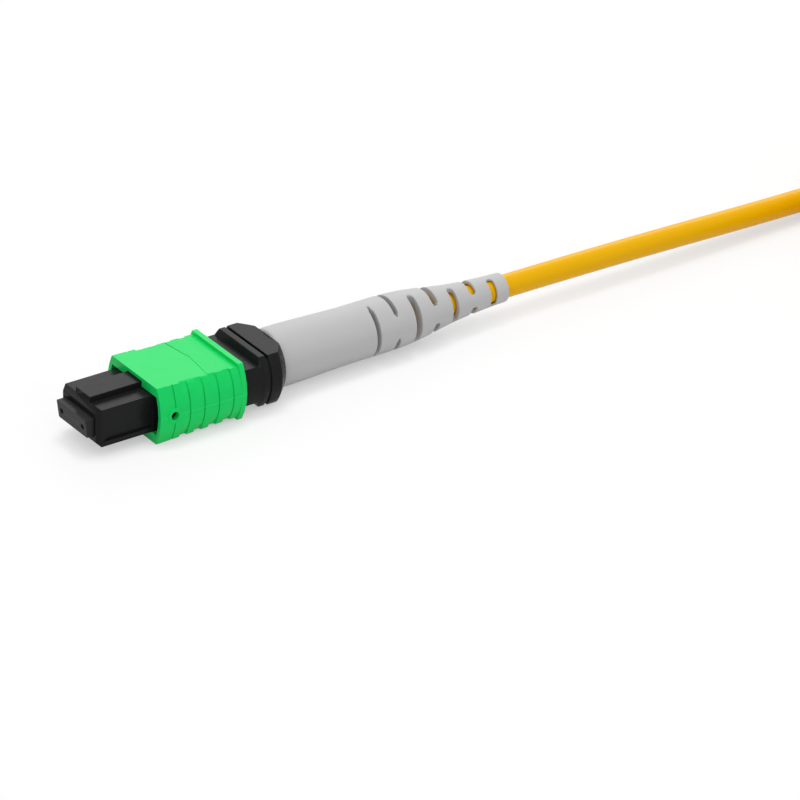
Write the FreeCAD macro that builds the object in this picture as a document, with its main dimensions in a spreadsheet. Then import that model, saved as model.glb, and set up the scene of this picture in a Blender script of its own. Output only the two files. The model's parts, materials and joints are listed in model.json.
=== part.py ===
import FreeCAD, Part
import math
import os
import re

import Sketcher

# A push-pull multi-fibre connector on a round optical cable, in millimetres.
#
# Each connector is drawn in its own frame first: Y runs back from the tip of the ferrule towards
# the cable, Z points up through the key, and the origin is on the axis at the ferrule's tip.
# The finished pieces are then placed in the part's frame, which has +Z up, the connector along Y
# and its origin on the floor under the middle of the connector. The lead's far end carries the
# same connector, turned half a circle about Z.

document = FreeCAD.newDocument("FibreConnector")
sheet = document.addObject("Spreadsheet::Sheet", "Sizes")

SIZES = (
    # Ferrule: a rectangular block with two guide holes and a collar at its back.
    ("ferrule_width", 6.4, "width of the ferrule's block"),
    ("ferrule_height", 2.5, "height of the ferrule's block"),
    ("ferrule_length", 8.0, "tip to back of the collar"),
    ("face_angle", 8.0, "slant of the polished face, degrees"),
    ("ferrule_edge", 0.12, "broken edges along the ferrule's block"),
    ("collar_width", 6.9, "width of the ferrule's collar"),
    ("collar_height", 3.0, "height of the ferrule's collar"),
    ("collar_length", 2.2, "length of the ferrule's collar"),
    ("guide_pitch", 4.6, "between the two guide holes"),
    ("guide_radius", 0.35, "guide hole radius"),
    ("pocket_width", 3.6, "ferrule's back pocket, width"),
    ("pocket_height", 1.4, "ferrule's back pocket, height"),
    ("pocket_depth", 4.4, "ferrule's back pocket, depth"),
    ("window_width", 2.9, "glue window in the ferrule's top, width"),
    ("window_length", 1.6, "glue window in the ferrule's top, length"),
    ("ferrule_play", 0.05, "gap between the ferrule's collar and the housing"),
    ("ferrule_travel", 0.8, "how far the ferrule is pushed back when mated"),
    # Ribbon and the rubber boot that holds it in the ferrule.
    ("ribbon_width", 3.1, "twelve fibres side by side"),
    ("ribbon_thickness", 0.3, "coated fibre ribbon"),
    ("bundle_radius", 0.6, "loose fibres gathered in the cable"),
    ("ribbon_play", 0.03, "gap round the ribbon in its boot"),
    ("ferrule_boot_width", 3.5, "rubber boot in the pocket, width"),
    ("ferrule_boot_height", 1.3, "rubber boot in the pocket, height"),
    ("ferrule_boot_length", 6.2, "rubber boot, length"),
    # Clamp behind the ferrule and the oval spring that pushes on it.
    ("clamp_length", 1.6, "clamp plate thickness"),
    ("clamp_spigot", 0.8, "spigot that centres the spring"),
    ("clamp_opening_width", 3.6, "opening for the ferrule's boot, width"),
    ("clamp_opening_height", 1.4, "opening for the ferrule's boot, height"),
    ("clamp_spigot_width", 4.3, "spigot width"),
    ("clamp_spigot_height", 2.0, "spigot height"),
    ("oval_wire", 0.35, "oval spring, wire diameter"),
    ("oval_width", 6.5, "oval spring, outer width"),
    ("oval_height", 3.0, "oval spring, outer height"),
    ("oval_turns", 4.5, "oval spring, turns"),
    # Inner housing: the black plug body with its key and latch recesses.
    ("ferrule_reach", 1.2, "ferrule's tip to the inner housing's nose"),
    ("plug_width", 8.1, "inner housing, width"),
    ("plug_height", 5.0, "inner housing, height"),
    ("plug_length", 19.8, "inner housing, length"),
    ("nose_length", 0.6, "length of the bevels round the nose"),
    ("nose_side", 0.4, "bevel at the sides of the nose"),
    ("nose_top", 0.6, "bevel at the top and bottom of the nose"),
    ("mouth_play", 0.1, "gap round the ferrule in the nose"),
    ("key_width", 3.1, "key rail, width"),
    ("key_height", 0.74, "key rail, height above the top"),
    ("key_setback", 0.5, "nose to the front of the key rail"),
    ("key_length", 9.8, "key rail, length"),
    ("recess_setback", 0.65, "nose to the latch recess"),
    ("recess_length", 7.1, "latch recess, length"),
    ("recess_depth", 0.35, "latch recess, depth"),
    ("recess_top", 2.3, "latch recess, upper edge above the axis"),
    ("recess_bottom", 1.85, "latch recess, lower edge below the axis"),
    ("recess_slope", 1.0, "run of the recess's slanted front wall"),
    ("stop_length", 1.0, "lugs that stop the sleeve, length"),
    ("stop_height", 1.0, "lugs that stop the sleeve, height"),
    ("stop_width", 0.5, "how far those lugs stand out"),
    ("stop_offset", 1.7, "middle of a lug above or below the axis"),
    ("stop_play", 0.05, "gap between a lug and the sleeve's ledge"),
    ("hook_window", 1.5, "window for the retainer's hook, length"),
    ("hook_height", 1.4, "window for the retainer's hook, height"),
    # Outer housing: the green sliding sleeve.
    ("sleeve_setback", 7.8, "inner housing's nose to the sleeve"),
    ("sleeve_length", 12.3, "sleeve, length"),
    ("sleeve_front_top", 9.9, "flat top's width at the front"),
    ("sleeve_front_width", 11.9, "width over the curved sides at the front"),
    ("sleeve_rear_top", 10.1, "flat top's width at the rear"),
    ("sleeve_rear_width", 12.3, "width over the curved sides at the rear"),
    ("sleeve_height", 7.7, "height at the front and over the rear ridge"),
    ("sleeve_waist", 6.76, "height just ahead of the rear ridge"),
    ("ridge_length", 0.7, "rear ridge, length"),
    ("sleeve_wall", 0.55, "side wall at the front opening"),
    ("sleeve_play", 0.1, "running gap round the inner housing"),
    ("mouth_depth", 3.6, "depth of the wide chamber inside the front"),
    ("ledge_length", 0.6, "ledge that the side springs push on"),
    ("sleeve_travel", 2.0, "how far the sleeve is pulled back"),
    ("groove_start", 2.16, "sleeve's front to the first grip groove"),
    ("groove_pitch", 2.06, "between grip grooves"),
    ("groove_width", 0.2, "grip groove, width"),
    ("groove_depth", 0.18, "grip groove, depth"),
    ("scoop_length", 0.95, "scooped back half of a grip rib"),
    ("scoop_depth", 0.36, "how far a scoop cuts in at the corners"),
    ("scoop_clear", 0.1, "how far a scoop's surface lies outside the side at mid height"),
    ("shoulder_start", 3.95, "sleeve's front to the eased upper edges"),
    ("shoulder_out", 4.85, "bend between the two facets of an eased edge, out from the axis"),
    ("shoulder_up", 3.5, "that bend's height above the axis"),
    ("shoulder_run", 0.9, "upper facet, width"),
    ("shoulder_fall", 0.33, "upper facet, fall"),
    ("shoulder_drop", 0.78, "lower facet, width and fall, to where it has left the side"),
    ("label_depth", 0.06, "step down into the label field"),
    ("label_side", 7.2, "label field's length at the sides"),
    ("label_middle", 8.0, "label field's length at the middle"),
    ("port_setback", 2.0, "sleeve's front to the side port"),
    ("port_radius", 0.55, "side port, radius"),
    ("port_rim", 0.95, "rim round the side port, radius"),
    ("port_rise", 0.1, "how far the rim stands proud"),
    # Side springs that return the sleeve.
    ("side_spring_radius", 0.55, "side spring, outer radius"),
    ("side_spring_wire", 0.2, "side spring, wire diameter"),
    ("side_spring_turns", 6.0, "side spring, turns"),
    ("side_spring_gap", 0.1, "gap between spring and inner housing"),
    ("channel_gap", 0.1, "gap between spring and its channel"),
    # Rear body: spring seat, waist, strip, flange and crimp stub in one moulding.
    ("plug_gap", 0.2, "inner housing's back to the rear body's waist"),
    ("insert_length", 4.2, "rear body's part inside the inner housing"),
    ("insert_play", 0.05, "gap round that part"),
    ("waist_height", 5.0, "waist, height over its flats"),
    ("waist_radius", 5.42, "waist, radius of its sides"),
    ("waist_length", 2.5, "waist, length"),
    ("ramp_length", 0.4, "ramp from the waist to the strip"),
    ("flats_height", 6.86, "strip and flange, height over their flats"),
    ("strip_length", 0.86, "strip, length"),
    ("strip_radius", 5.55, "strip, radius of its sides"),
    ("relief_length", 0.35, "groove behind the strip, length"),
    ("relief_depth", 0.45, "groove behind the strip, depth"),
    ("flange_length", 1.5, "flange, length"),
    ("flange_radius", 5.6, "flange, radius of its sides"),
    ("cone_length", 1.4, "cone behind the flange, length"),
    ("cone_radius", 4.3, "cone's radius at the boot"),
    ("passage_width", 3.8, "ribbon passage, width"),
    ("passage_height", 1.8, "ribbon passage, height"),
    ("passage_radius", 1.7, "round passage towards the cable"),
    ("ear_height", 1.1, "ears that back the side springs, height"),
    ("hook_reach", 0.4, "how far a retaining hook stands out"),
    ("stub_radius", 2.3, "crimp stub, radius"),
    ("stub_length", 5.5, "crimp stub, length"),
    # Cable, its strength yarn, and the stepped ring crimped over both.
    ("cable_radius", 1.5, "cable jacket, radius"),
    ("cable_gap", 0.6, "crimp stub to the cable's jacket"),
    ("cable_bore", 0.75, "bore for the fibres at the jacket's end"),
    ("cable_bore_depth", 4.0, "how deep that bore is modelled"),
    ("yarn_thickness", 0.15, "strength yarn laid over the stub"),
    ("ring_wall", 0.35, "crimp ring, wall"),
    ("ring_setback", 0.5, "flange's cone to the crimp ring"),
    ("ring_tail", 3.6, "narrow back of the ring"),
    # Boot: the slotted strain relief.
    ("boot_length", 36.0, "boot, length"),
    ("boot_radius", 3.85, "boot, radius at the flange"),
    ("boot_body_radius", 3.55, "boot, radius of its straight middle"),
    ("boot_shoulder", 3.0, "length of the widest stretch"),
    ("boot_ease", 11.5, "flange to the straight middle"),
    ("boot_taper", 17.6, "flange to the start of the taper"),
    ("boot_crown", 21.2, "flange to where the taper steepens"),
    ("boot_crown_radius", 3.33, "boot, radius there"),
    ("boot_hollow", 27.6, "flange to where the taper flattens"),
    ("boot_hollow_radius", 2.39, "boot, radius there"),
    ("boot_end_radius", 1.86, "boot, radius at its end"),
    ("boot_rounding", 0.25, "eased rim at the boot's end"),
    ("boot_bore_gap", 0.1, "gap round the cable and the crimp ring"),
    ("slot_start", 15.0, "flange to the first row of slots"),
    ("slot_pitch", 3.18, "between rows of slots"),
    ("slot_rows", 7, "rows of slots"),
    ("slot_first_width", 0.4, "first slot, width"),
    ("slot_width", 0.95, "widest slots, width"),
    ("slot_span", 126.0, "each slot's arc, degrees"),
    ("boot_roll", 19.0, "how far the boot is turned on the cable, degrees"),
    # Lead: coil, tie and where the far connector lies.
    ("coil_middle_radius", 15.7, "middle of the coil's turns"),
    ("coil_columns", 2, "turns side by side in the coil"),
    ("coil_rows", 4, "turns on top of each other in the coil"),
    ("tie_thickness", 0.4, "tie round the coil"),
    ("tie_width", 6.0, "tie round the coil, width"),
    ("lead_run", 63.5, "boot's end to the coil, along the connector"),
    ("lead_shift", 1.8, "how far the cable has drifted aside by then"),
    ("return_run", 16.0, "coil to the far connector's boot"),
)

for row, (alias, value, note) in enumerate(SIZES, start=1):
    sheet.set(f"A{row}", alias)
    sheet.set(f"B{row}", str(value))
    sheet.set(f"C{row}", note)
    sheet.setAlias(f"B{row}", alias)
document.recompute()


class Size:
    """A number together with the expression over the sheet's cells that gives it."""

    def __init__(self, value, text):
        self.value = float(value)
        self.text = text

    def joined(self, sign, other, value):
        return Size(value, f"({self.text} {sign} {text_of(other)})")

    def __add__(self, other):
        return self.joined("+", other, self.value + value_of(other))

    def __sub__(self, other):
        return self.joined("-", other, self.value - value_of(other))

    def __mul__(self, other):
        return self.joined("*", other, self.value * value_of(other))

    def __truediv__(self, other):
        return self.joined("/", other, self.value / value_of(other))

    def __neg__(self):
        return Size(-self.value, f"(-{self.text})")


def value_of(number):
    return number.value if isinstance(number, Size) else float(number)


def text_of(number):
    return number.text if isinstance(number, Size) else str(number)


def tangent(angle):
    """The tangent of an angle that the sheet gives in degrees."""
    return Size(math.tan(math.radians(angle.value)), f"tan({angle.text} * 1 deg)")


class Sizes:
    """The sheet's cells by alias, so that size.plug_width is a Size."""

    def __getattr__(self, alias):
        return Size(sheet.get(alias), f"Sizes.{alias}")


size = Sizes()
zero = Size(0, "0")


def bind(feature, **values):
    """Tie a feature's properties to the sheet; x, y and z stand for its place."""
    for name, number in values.items():
        target = f".Placement.Base.{name}" if name in "xyz" else name
        feature.setExpression(target, text_of(number))


# ---------------------------------------------------------------- building blocks


def block(name, front, length, width, height, x=zero, z=zero):
    """A box centred on x and z that starts at front and runs back along Y."""
    box = document.addObject("Part::Box", name)
    bind(box, Length=width, Width=length, Height=height,
         x=x - width / 2, y=front, z=z - height / 2)
    return box


def rod(name, front, length, radius, x=zero, z=zero):
    """A cylinder along Y."""
    cylinder = document.addObject("Part::Cylinder", name)
    cylinder.Placement.Rotation = FreeCAD.Rotation(FreeCAD.Vector(1, 0, 0), -90)
    bind(cylinder, Radius=radius, Height=length, x=x, y=front, z=z)
    return cylinder


def cone(name, front, length, front_radius, rear_radius):
    """A cone along Y."""
    tapered = document.addObject("Part::Cone", name)
    tapered.Placement.Rotation = FreeCAD.Rotation(FreeCAD.Vector(1, 0, 0), -90)
    bind(tapered, Radius1=front_radius, Radius2=rear_radius, Height=length, y=front)
    return tapered


def fuse(name, *pieces):
    joined = document.addObject("Part::MultiFuse", name)
    joined.Shapes = list(pieces)
    joined.Refine = True
    return joined


def common(name, *pieces):
    shared = document.addObject("Part::MultiCommon", name)
    shared.Shapes = list(pieces)
    shared.Refine = True
    return shared


def cut(name, base, *tools):
    tool = tools[0] if len(tools) == 1 else fuse(f"{name}_tools", *tools)
    result = document.addObject("Part::Cut", name)
    result.Base = base
    result.Tool = tool
    result.Refine = True
    return result


# The planes that outlines are drawn on: sketch x and y become the two named axes.
ACROSS = FreeCAD.Rotation(FreeCAD.Vector(1, 0, 0), 90)                     # X and Z
FROM_ABOVE = FreeCAD.Rotation()                                            # X and Y
FROM_SIDE = FreeCAD.Rotation(FreeCAD.Vector(1, 1, 1), 120)                 # Y and Z


def outline(name, plane, points, bends=None, **place):
    """A closed sketch through points, each tied to the sheet.

    bends gives, for the edge that leaves a point, the radius of an arc and the side on which
    the arc bulges: 1 to the left of the way the outline runs, -1 to the right.
    """
    bends = bends or {}
    sketch = document.addObject("Sketcher::SketchObject", name)
    sketch.Placement.Rotation = plane
    count = len(points)
    ends = []
    for index, point in enumerate(points):
        start = FreeCAD.Vector(value_of(point[0]), value_of(point[1]), 0)
        following = points[(index + 1) % count]
        stop = FreeCAD.Vector(value_of(following[0]), value_of(following[1]), 0)
        if index not in bends:
            sketch.addGeometry(Part.LineSegment(start, stop), False)
            ends.append((1, 2))
            continue
        radius, side = bends[index]
        chord = stop - start
        left = FreeCAD.Vector(-chord.y, chord.x, 0).normalize()
        sag = math.sqrt(value_of(radius) ** 2 - (chord.Length / 2) ** 2)
        centre = (start + stop) / 2 - left * sag * side
        first, last = (stop, start) if side > 0 else (start, stop)
        angles = [math.atan2(end.y - centre.y, end.x - centre.x) for end in (first, last)]
        circle = Part.Circle(centre, FreeCAD.Vector(0, 0, 1), value_of(radius))
        sketch.addGeometry(Part.ArcOfCircle(circle, angles[0], angles[1]), False)
        ends.append((2, 1) if side > 0 else (1, 2))
    for index in range(count):
        following = (index + 1) % count
        sketch.addConstraint(Sketcher.Constraint(
            "Coincident", index, ends[index][1], following, ends[following][0]))
    for index, point in enumerate(points):
        for kind, number in zip(("DistanceX", "DistanceY"), point):
            constraint = sketch.addConstraint(Sketcher.Constraint(
                kind, -1, 1, index, ends[index][0], value_of(number)))
            sketch.setExpression(f"Constraints[{constraint}]", text_of(number))
    for index, (radius, side) in bends.items():
        constraint = sketch.addConstraint(Sketcher.Constraint("Radius", index, value_of(radius)))
        sketch.setExpression(f"Constraints[{constraint}]", text_of(radius))
    bind(sketch, **place)
    return sketch


def extrude(name, sketch, length, direction, both_ways=False):
    solid = document.addObject("Part::Extrusion", name)
    solid.Base = sketch
    solid.DirMode = "Custom"
    solid.Dir = direction
    solid.Solid = True
    solid.Symmetric = both_ways
    bind(solid, LengthFwd=length)
    return solid


def revolve(name, sketch):
    """A sketch drawn on X and Y, turned about Y."""
    solid = document.addObject("Part::Revolution", name)
    solid.Source = sketch
    solid.Axis = FreeCAD.Vector(0, 1, 0)
    solid.Angle = 360
    solid.Solid = True
    return solid


def loft(name, *sections):
    solid = document.addObject("Part::Loft", name)
    solid.Sections = list(sections)
    solid.Solid = True
    solid.Ruled = True
    return solid


def barrel(name, station, top_width, full_width, height):
    """A section with a flat top and bottom and two bulging sides, each side six short flats."""
    half_top = top_width / 2
    half_height = height / 2
    bulge = (full_width - top_width) / 2
    levels = (-1, -2 / 3, -1 / 3, 0, 1 / 3, 2 / 3, 1)
    right = [(half_top + bulge * round(1 - level * level, 6), half_height * round(level, 6))
             for level in levels]
    left = [(-across, up) for across, up in right[::-1]]
    return outline(name, ACROSS, right + left, y=station)


# ---------------------------------------------------------------- stations along the axis

collar_front = size.ferrule_length - size.collar_length
clamp_rear = size.ferrule_length + size.clamp_length
nose = size.ferrule_reach
plug_rear = nose + size.plug_length
sleeve_front = nose + size.sleeve_setback
sleeve_rear = sleeve_front + size.sleeve_length
ledge_rear = sleeve_front + size.mouth_depth + size.ledge_length
waist_front = plug_rear + size.plug_gap
ear_front = waist_front - size.sleeve_travel - size.plug_gap
insert_front = waist_front - size.insert_length
ramp_front = waist_front + size.waist_length
strip_front = ramp_front + size.ramp_length
relief_front = strip_front + size.strip_length
flange_front = relief_front + size.relief_length
cone_front = flange_front + size.flange_length
boot_front = cone_front + size.cone_length
stub_rear = boot_front + size.stub_length
cable_front = stub_rear + size.cable_gap
boot_rear = boot_front + size.boot_length

half_length = boot_rear / 2
axis_height = size.sleeve_height / 2


# ---------------------------------------------------------------- the connector's pieces


def make_ferrule(suffix):
    """The moulded block that holds the fibres: slanted face, collar, guide holes, window."""
    set_back = size.ferrule_height * tangent(size.face_angle)
    top = size.ferrule_height / 2
    side = outline(f"ferrule_side{suffix}", FROM_SIDE, [
        (zero, top), (set_back, -top),
        (size.ferrule_length, -top), (size.ferrule_length, top)])
    blank = extrude(f"ferrule_blank{suffix}", side, size.ferrule_width,
                    FreeCAD.Vector(1, 0, 0), both_ways=True)
    edge = size.ferrule_edge
    half = size.ferrule_width / 2
    corners = [(half - edge, -top), (half, -top + edge), (half, top - edge), (half - edge, top),
               (-half + edge, top), (-half, top - edge), (-half, -top + edge), (-half + edge, -top)]
    eased = extrude(f"ferrule_eased{suffix}",
                    outline(f"ferrule_section{suffix}", ACROSS, corners),
                    size.ferrule_length, FreeCAD.Vector(0, 1, 0))
    stem = common(f"ferrule_stem{suffix}", blank, eased)
    collar = block(f"ferrule_collar{suffix}", collar_front, size.collar_length,
                   size.collar_width, size.collar_height)
    holes = [rod(f"guide_hole_{index}{suffix}", zero, size.ferrule_length, size.guide_radius,
                 x=size.guide_pitch / 2 * sign) for index, sign in enumerate((-1, 1))]
    pocket = block(f"ferrule_pocket{suffix}", size.ferrule_length - size.pocket_depth,
                   size.pocket_depth, size.pocket_width, size.pocket_height)
    window = block(f"glue_window{suffix}", size.ferrule_length - size.pocket_depth,
                   size.window_length, size.window_width, size.ferrule_height / 2,
                   z=size.ferrule_height / 4 + size.pocket_height / 4)
    return cut(f"ferrule{suffix}", fuse(f"ferrule_block{suffix}", stem, collar),
               *holes, pocket, window)


def make_ferrule_boot(suffix):
    """The rubber boot that grips the ribbon behind the ferrule."""
    front = size.ferrule_length - size.pocket_depth + size.window_length
    body = block(f"ferrule_boot_body{suffix}", front, size.ferrule_boot_length - size.window_length,
                 size.ferrule_boot_width, size.ferrule_boot_height)
    slit = block(f"ferrule_boot_slit{suffix}", front, size.ferrule_boot_length,
                 size.ribbon_width + size.ribbon_play * 2,
                 size.ribbon_thickness + size.ribbon_play * 2)
    return cut(f"ferrule_boot{suffix}", body, slit)


def make_pin_clamp(suffix):
    """The plate behind the ferrule, with an opening for the boot and a spigot for the spring."""
    plate = block(f"clamp_plate{suffix}", size.ferrule_length, size.clamp_length,
                  size.collar_width, size.collar_height)
    spigot = block(f"clamp_spigot{suffix}", size.ferrule_length,
                   size.clamp_length + size.clamp_spigot,
                   size.clamp_spigot_width, size.clamp_spigot_height)
    opening = block(f"clamp_opening{suffix}", size.ferrule_length,
                    size.clamp_length + size.clamp_spigot,
                    size.clamp_opening_width, size.clamp_opening_height)
    return cut(f"pin_clamp{suffix}", fuse(f"clamp_body{suffix}", plate, spigot), opening)


def wound_wire(name, front, rear, half_width, half_height, wire, turns, x=zero):
    """A compression spring of five-sided wire along Y, wound round or in a racetrack's shape."""
    straight = value_of(half_width) - value_of(half_height)
    steps_per_turn = 12 if straight > 0 else 8
    steps = int(round(value_of(turns) * steps_per_turn))
    wire_radius = value_of(wire) / 2
    bend = value_of(half_height) - wire_radius
    start = value_of(front) + wire_radius
    rise = (value_of(rear) - wire_radius - start) / steps
    points = []
    for step in range(steps + 1):
        angle = 2 * math.pi * (step + 0.5) / steps_per_turn
        points.append(FreeCAD.Vector(
            value_of(x) + math.copysign(straight, math.cos(angle)) + bend * math.cos(angle),
            start + rise * step, bend * math.sin(angle)))
    heading = (points[1] - points[0]).normalize()
    across = heading.cross(FreeCAD.Vector(1, 0, 0)).normalize()
    other = heading.cross(across)
    corners = []
    for corner in range(5):
        angle = 2 * math.pi * corner / 5
        corners.append(points[0] + across * (wire_radius * math.cos(angle))
                       + other * (wire_radius * math.sin(angle)))
    sweep = Part.BRepOffsetAPI.MakePipeShell(Part.makePolygon(points))
    sweep.setTransitionMode(1)
    sweep.add(Part.makePolygon(corners + corners[:1]), False, False)
    sweep.build()
    sweep.makeSolid()
    spring = document.addObject("Part::Feature", name)
    spring.Shape = sweep.shape()
    return spring


def make_ferrule_spring(suffix):
    """The oval spring between the clamp and the rear body."""
    return wound_wire(f"ferrule_spring{suffix}", clamp_rear, insert_front,
                      size.oval_width / 2, size.oval_height / 2, size.oval_wire, size.oval_turns)


side_spring_x = size.plug_width / 2 + size.side_spring_gap + size.side_spring_radius


def make_side_spring(name, sign):
    """A small round spring beside the inner housing, between the sleeve's ledge and an ear."""
    return wound_wire(name, ledge_rear, ear_front, size.side_spring_radius,
                      size.side_spring_radius, size.side_spring_wire, size.side_spring_turns,
                      x=side_spring_x * sign)


def make_fibre_ribbon(suffix):
    """Twelve fibres: a flat ribbon through the ferrule's boot, gathered into the cable."""
    front = size.ferrule_length - size.pocket_depth
    flat = block(f"ribbon_flat{suffix}", front, insert_front - front,
                 size.ribbon_width, size.ribbon_thickness)
    half_width = size.ribbon_width / 2
    half_thickness = size.ribbon_thickness / 2
    wide = outline(f"ribbon_wide{suffix}", ACROSS, [
        (half_width, -half_thickness), (half_width, half_thickness),
        (-half_width, half_thickness), (-half_width, -half_thickness)], y=insert_front)
    half_bundle = size.bundle_radius * 0.7
    narrow = outline(f"ribbon_narrow{suffix}", ACROSS, [
        (half_bundle, -half_bundle), (half_bundle, half_bundle),
        (-half_bundle, half_bundle), (-half_bundle, -half_bundle)], y=boot_front)
    gathered = loft(f"ribbon_gathered{suffix}", wide, narrow)
    bundle = block(f"ribbon_bundle{suffix}", boot_front,
                   cable_front + size.cable_bore_depth / 2 - boot_front,
                   half_bundle * 2, half_bundle * 2)
    return fuse(f"fibre_ribbon{suffix}", flat, gathered, bundle)


def make_inner_housing(suffix):
    """The plug body: bevelled nose, key rail, latch recesses, ferrule seat and stop lugs."""
    half_width = size.plug_width / 2
    half_height = size.plug_height / 2
    from_above = outline(f"plug_from_above{suffix}", FROM_ABOVE, [
        (half_width - size.nose_side, nose), (half_width, nose + size.nose_length),
        (half_width, plug_rear), (-half_width, plug_rear),
        (-half_width, nose + size.nose_length), (-half_width + size.nose_side, nose)])
    from_side = outline(f"plug_from_side{suffix}", FROM_SIDE, [
        (nose, half_height - size.nose_top), (nose, -half_height + size.nose_top),
        (nose + size.nose_length, -half_height), (plug_rear, -half_height),
        (plug_rear, half_height), (nose + size.nose_length, half_height)])
    body = common(
        f"plug_blank{suffix}",
        extrude(f"plug_plan{suffix}", from_above, size.plug_height, FreeCAD.Vector(0, 0, 1), True),
        extrude(f"plug_profile{suffix}", from_side, size.plug_width, FreeCAD.Vector(1, 0, 0), True))
    key = block(f"key_rail{suffix}", nose + size.key_setback, size.key_length,
                size.key_width, size.key_height + size.nose_top,
                z=half_height + (size.key_height - size.nose_top) / 2)
    lugs = [block(f"stop_lug_{index}{suffix}",
                  sleeve_front + size.mouth_depth - size.stop_play - size.stop_length,
                  size.stop_length, size.plug_width + size.stop_width * 2, size.stop_height,
                  z=size.stop_offset * sign) for index, sign in enumerate((-1, 1))]
    mouth = block(f"ferrule_mouth{suffix}", nose, size.plug_length,
                  size.ferrule_width + size.mouth_play * 2,
                  size.ferrule_height + size.mouth_play * 2)
    seat = block(f"ferrule_seat{suffix}", collar_front, plug_rear - collar_front,
                 size.collar_width + size.ferrule_play * 2,
                 size.collar_height + size.ferrule_play * 2)
    windows = block(f"hook_windows{suffix}", plug_rear - size.hook_window * 2, size.hook_window,
                    size.plug_width, size.hook_height)
    recesses = [make_latch_recess(index, sign, suffix) for index, sign in enumerate((-1, 1))]
    return cut(f"inner_housing{suffix}", fuse(f"plug_body{suffix}", body, key, *lugs),
               mouth, seat, windows, *recesses)


def make_latch_recess(index, sign, suffix):
    """One side's recess, hollowed most near its lower ledge, with a slanted front wall."""
    outer = size.plug_width / 2
    deep = outer - size.recess_depth
    clear = outer + size.recess_depth
    section = outline(f"recess_section_{index}{suffix}", ACROSS, [
        (clear * sign, -size.recess_bottom), (clear * sign, size.recess_top),
        (outer * sign, size.recess_top), (deep * sign, zero), (deep * sign, -size.recess_bottom)],
        y=nose + size.recess_setback)
    channel = extrude(f"recess_channel_{index}{suffix}", section, size.recess_length,
                      FreeCAD.Vector(0, 1, 0))
    plan = outline(f"recess_plan_{index}{suffix}", FROM_ABOVE, [
        (outer * sign, nose + size.recess_setback),
        (clear * sign, nose + size.recess_setback),
        (clear * sign, nose + size.recess_setback + size.recess_length),
        (deep * sign, nose + size.recess_setback + size.recess_length),
        (deep * sign, nose + size.recess_setback + size.recess_slope)])
    trim = extrude(f"recess_trim_{index}{suffix}", plan, size.plug_height,
                   FreeCAD.Vector(0, 0, 1), both_ways=True)
    return common(f"latch_recess_{index}{suffix}", channel, trim)


def make_outer_housing(suffix):
    """The sliding sleeve: ribbed curved sides, rear ridge, label field, and hollow inside."""
    def shell(name, inset, rear_height):
        front = barrel(f"{name}_front{suffix}", sleeve_front, size.sleeve_front_top - inset * 2,
                       size.sleeve_front_width - inset * 2, size.sleeve_height)
        rear = barrel(f"{name}_rear{suffix}", sleeve_rear, size.sleeve_rear_top - inset * 2,
                      size.sleeve_rear_width - inset * 2, rear_height)
        return loft(f"{name}{suffix}", front, rear)

    body = cut(f"sleeve_eased{suffix}", shell("sleeve_body", zero, size.sleeve_waist),
               *[make_eased_edge(index, sign, suffix) for index, sign in enumerate((-1, 1))])
    ridge = extrude(f"sleeve_ridge{suffix}", barrel(
        f"ridge_section{suffix}", sleeve_rear - size.ridge_length, size.sleeve_rear_top,
        size.sleeve_rear_width, size.sleeve_height), size.ridge_length, FreeCAD.Vector(0, 1, 0))
    port_station = sleeve_front + size.port_setback
    port_width = size.sleeve_front_width + (
        (size.sleeve_rear_width - size.sleeve_front_width)
        * size.port_setback / size.sleeve_length)
    rim = cross_rod(f"port_rim{suffix}", port_station, size.port_rim,
                    port_width + size.port_rise * 2)
    groove_core = shell("groove_core", size.groove_depth, size.sleeve_waist)
    groove_slabs = []
    scoop_slabs = []
    ribs = int(value_of(size.sleeve_length - size.groove_start) / value_of(size.groove_pitch)) + 1
    for index in range(ribs):
        groove = sleeve_front + size.groove_start + size.groove_pitch * index
        groove_slabs.append(block(f"groove_slab_{index}{suffix}", groove - size.groove_width / 2,
                                  size.groove_width, size.sleeve_rear_width + size.ridge_length,
                                  size.sleeve_height))
        if index > 0:
            scoop_slabs.append(block(
                f"scoop_slab_{index}{suffix}", groove - size.scoop_length, size.scoop_length,
                size.sleeve_rear_width + size.ridge_length, size.sleeve_height))
    grooves = cut(f"grip_grooves{suffix}", fuse(f"groove_slabs{suffix}", *groove_slabs),
                  groove_core)
    scoops = cut(f"grip_scoops{suffix}", fuse(f"scoop_slabs{suffix}", *scoop_slabs),
                 make_scoop_core(suffix))
    label_edge = sleeve_front + size.label_side
    half_rear = size.sleeve_rear_width / 2
    label_field = extrude(f"label_field{suffix}", outline(f"label_outline{suffix}", FROM_ABOVE, [
        (half_rear, sleeve_front), (half_rear, label_edge),
        (zero, sleeve_front + size.label_middle), (-half_rear, label_edge),
        (-half_rear, sleeve_front)]), size.sleeve_height, FreeCAD.Vector(0, 0, 1))
    label_skin = cut(f"label_skin{suffix}", common(f"label_body{suffix}", body, label_field),
                     make_lowered_top(suffix))
    ribbed = cut(f"sleeve_ribbed{suffix}", fuse(
        f"sleeve_blank{suffix}", cut(f"sleeve_grooved{suffix}", body, grooves, scoops, label_skin),
        ridge, rim), *make_sleeve_hollows(suffix, port_station))
    return document_label(ribbed, f"outer_housing{suffix}")


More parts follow.
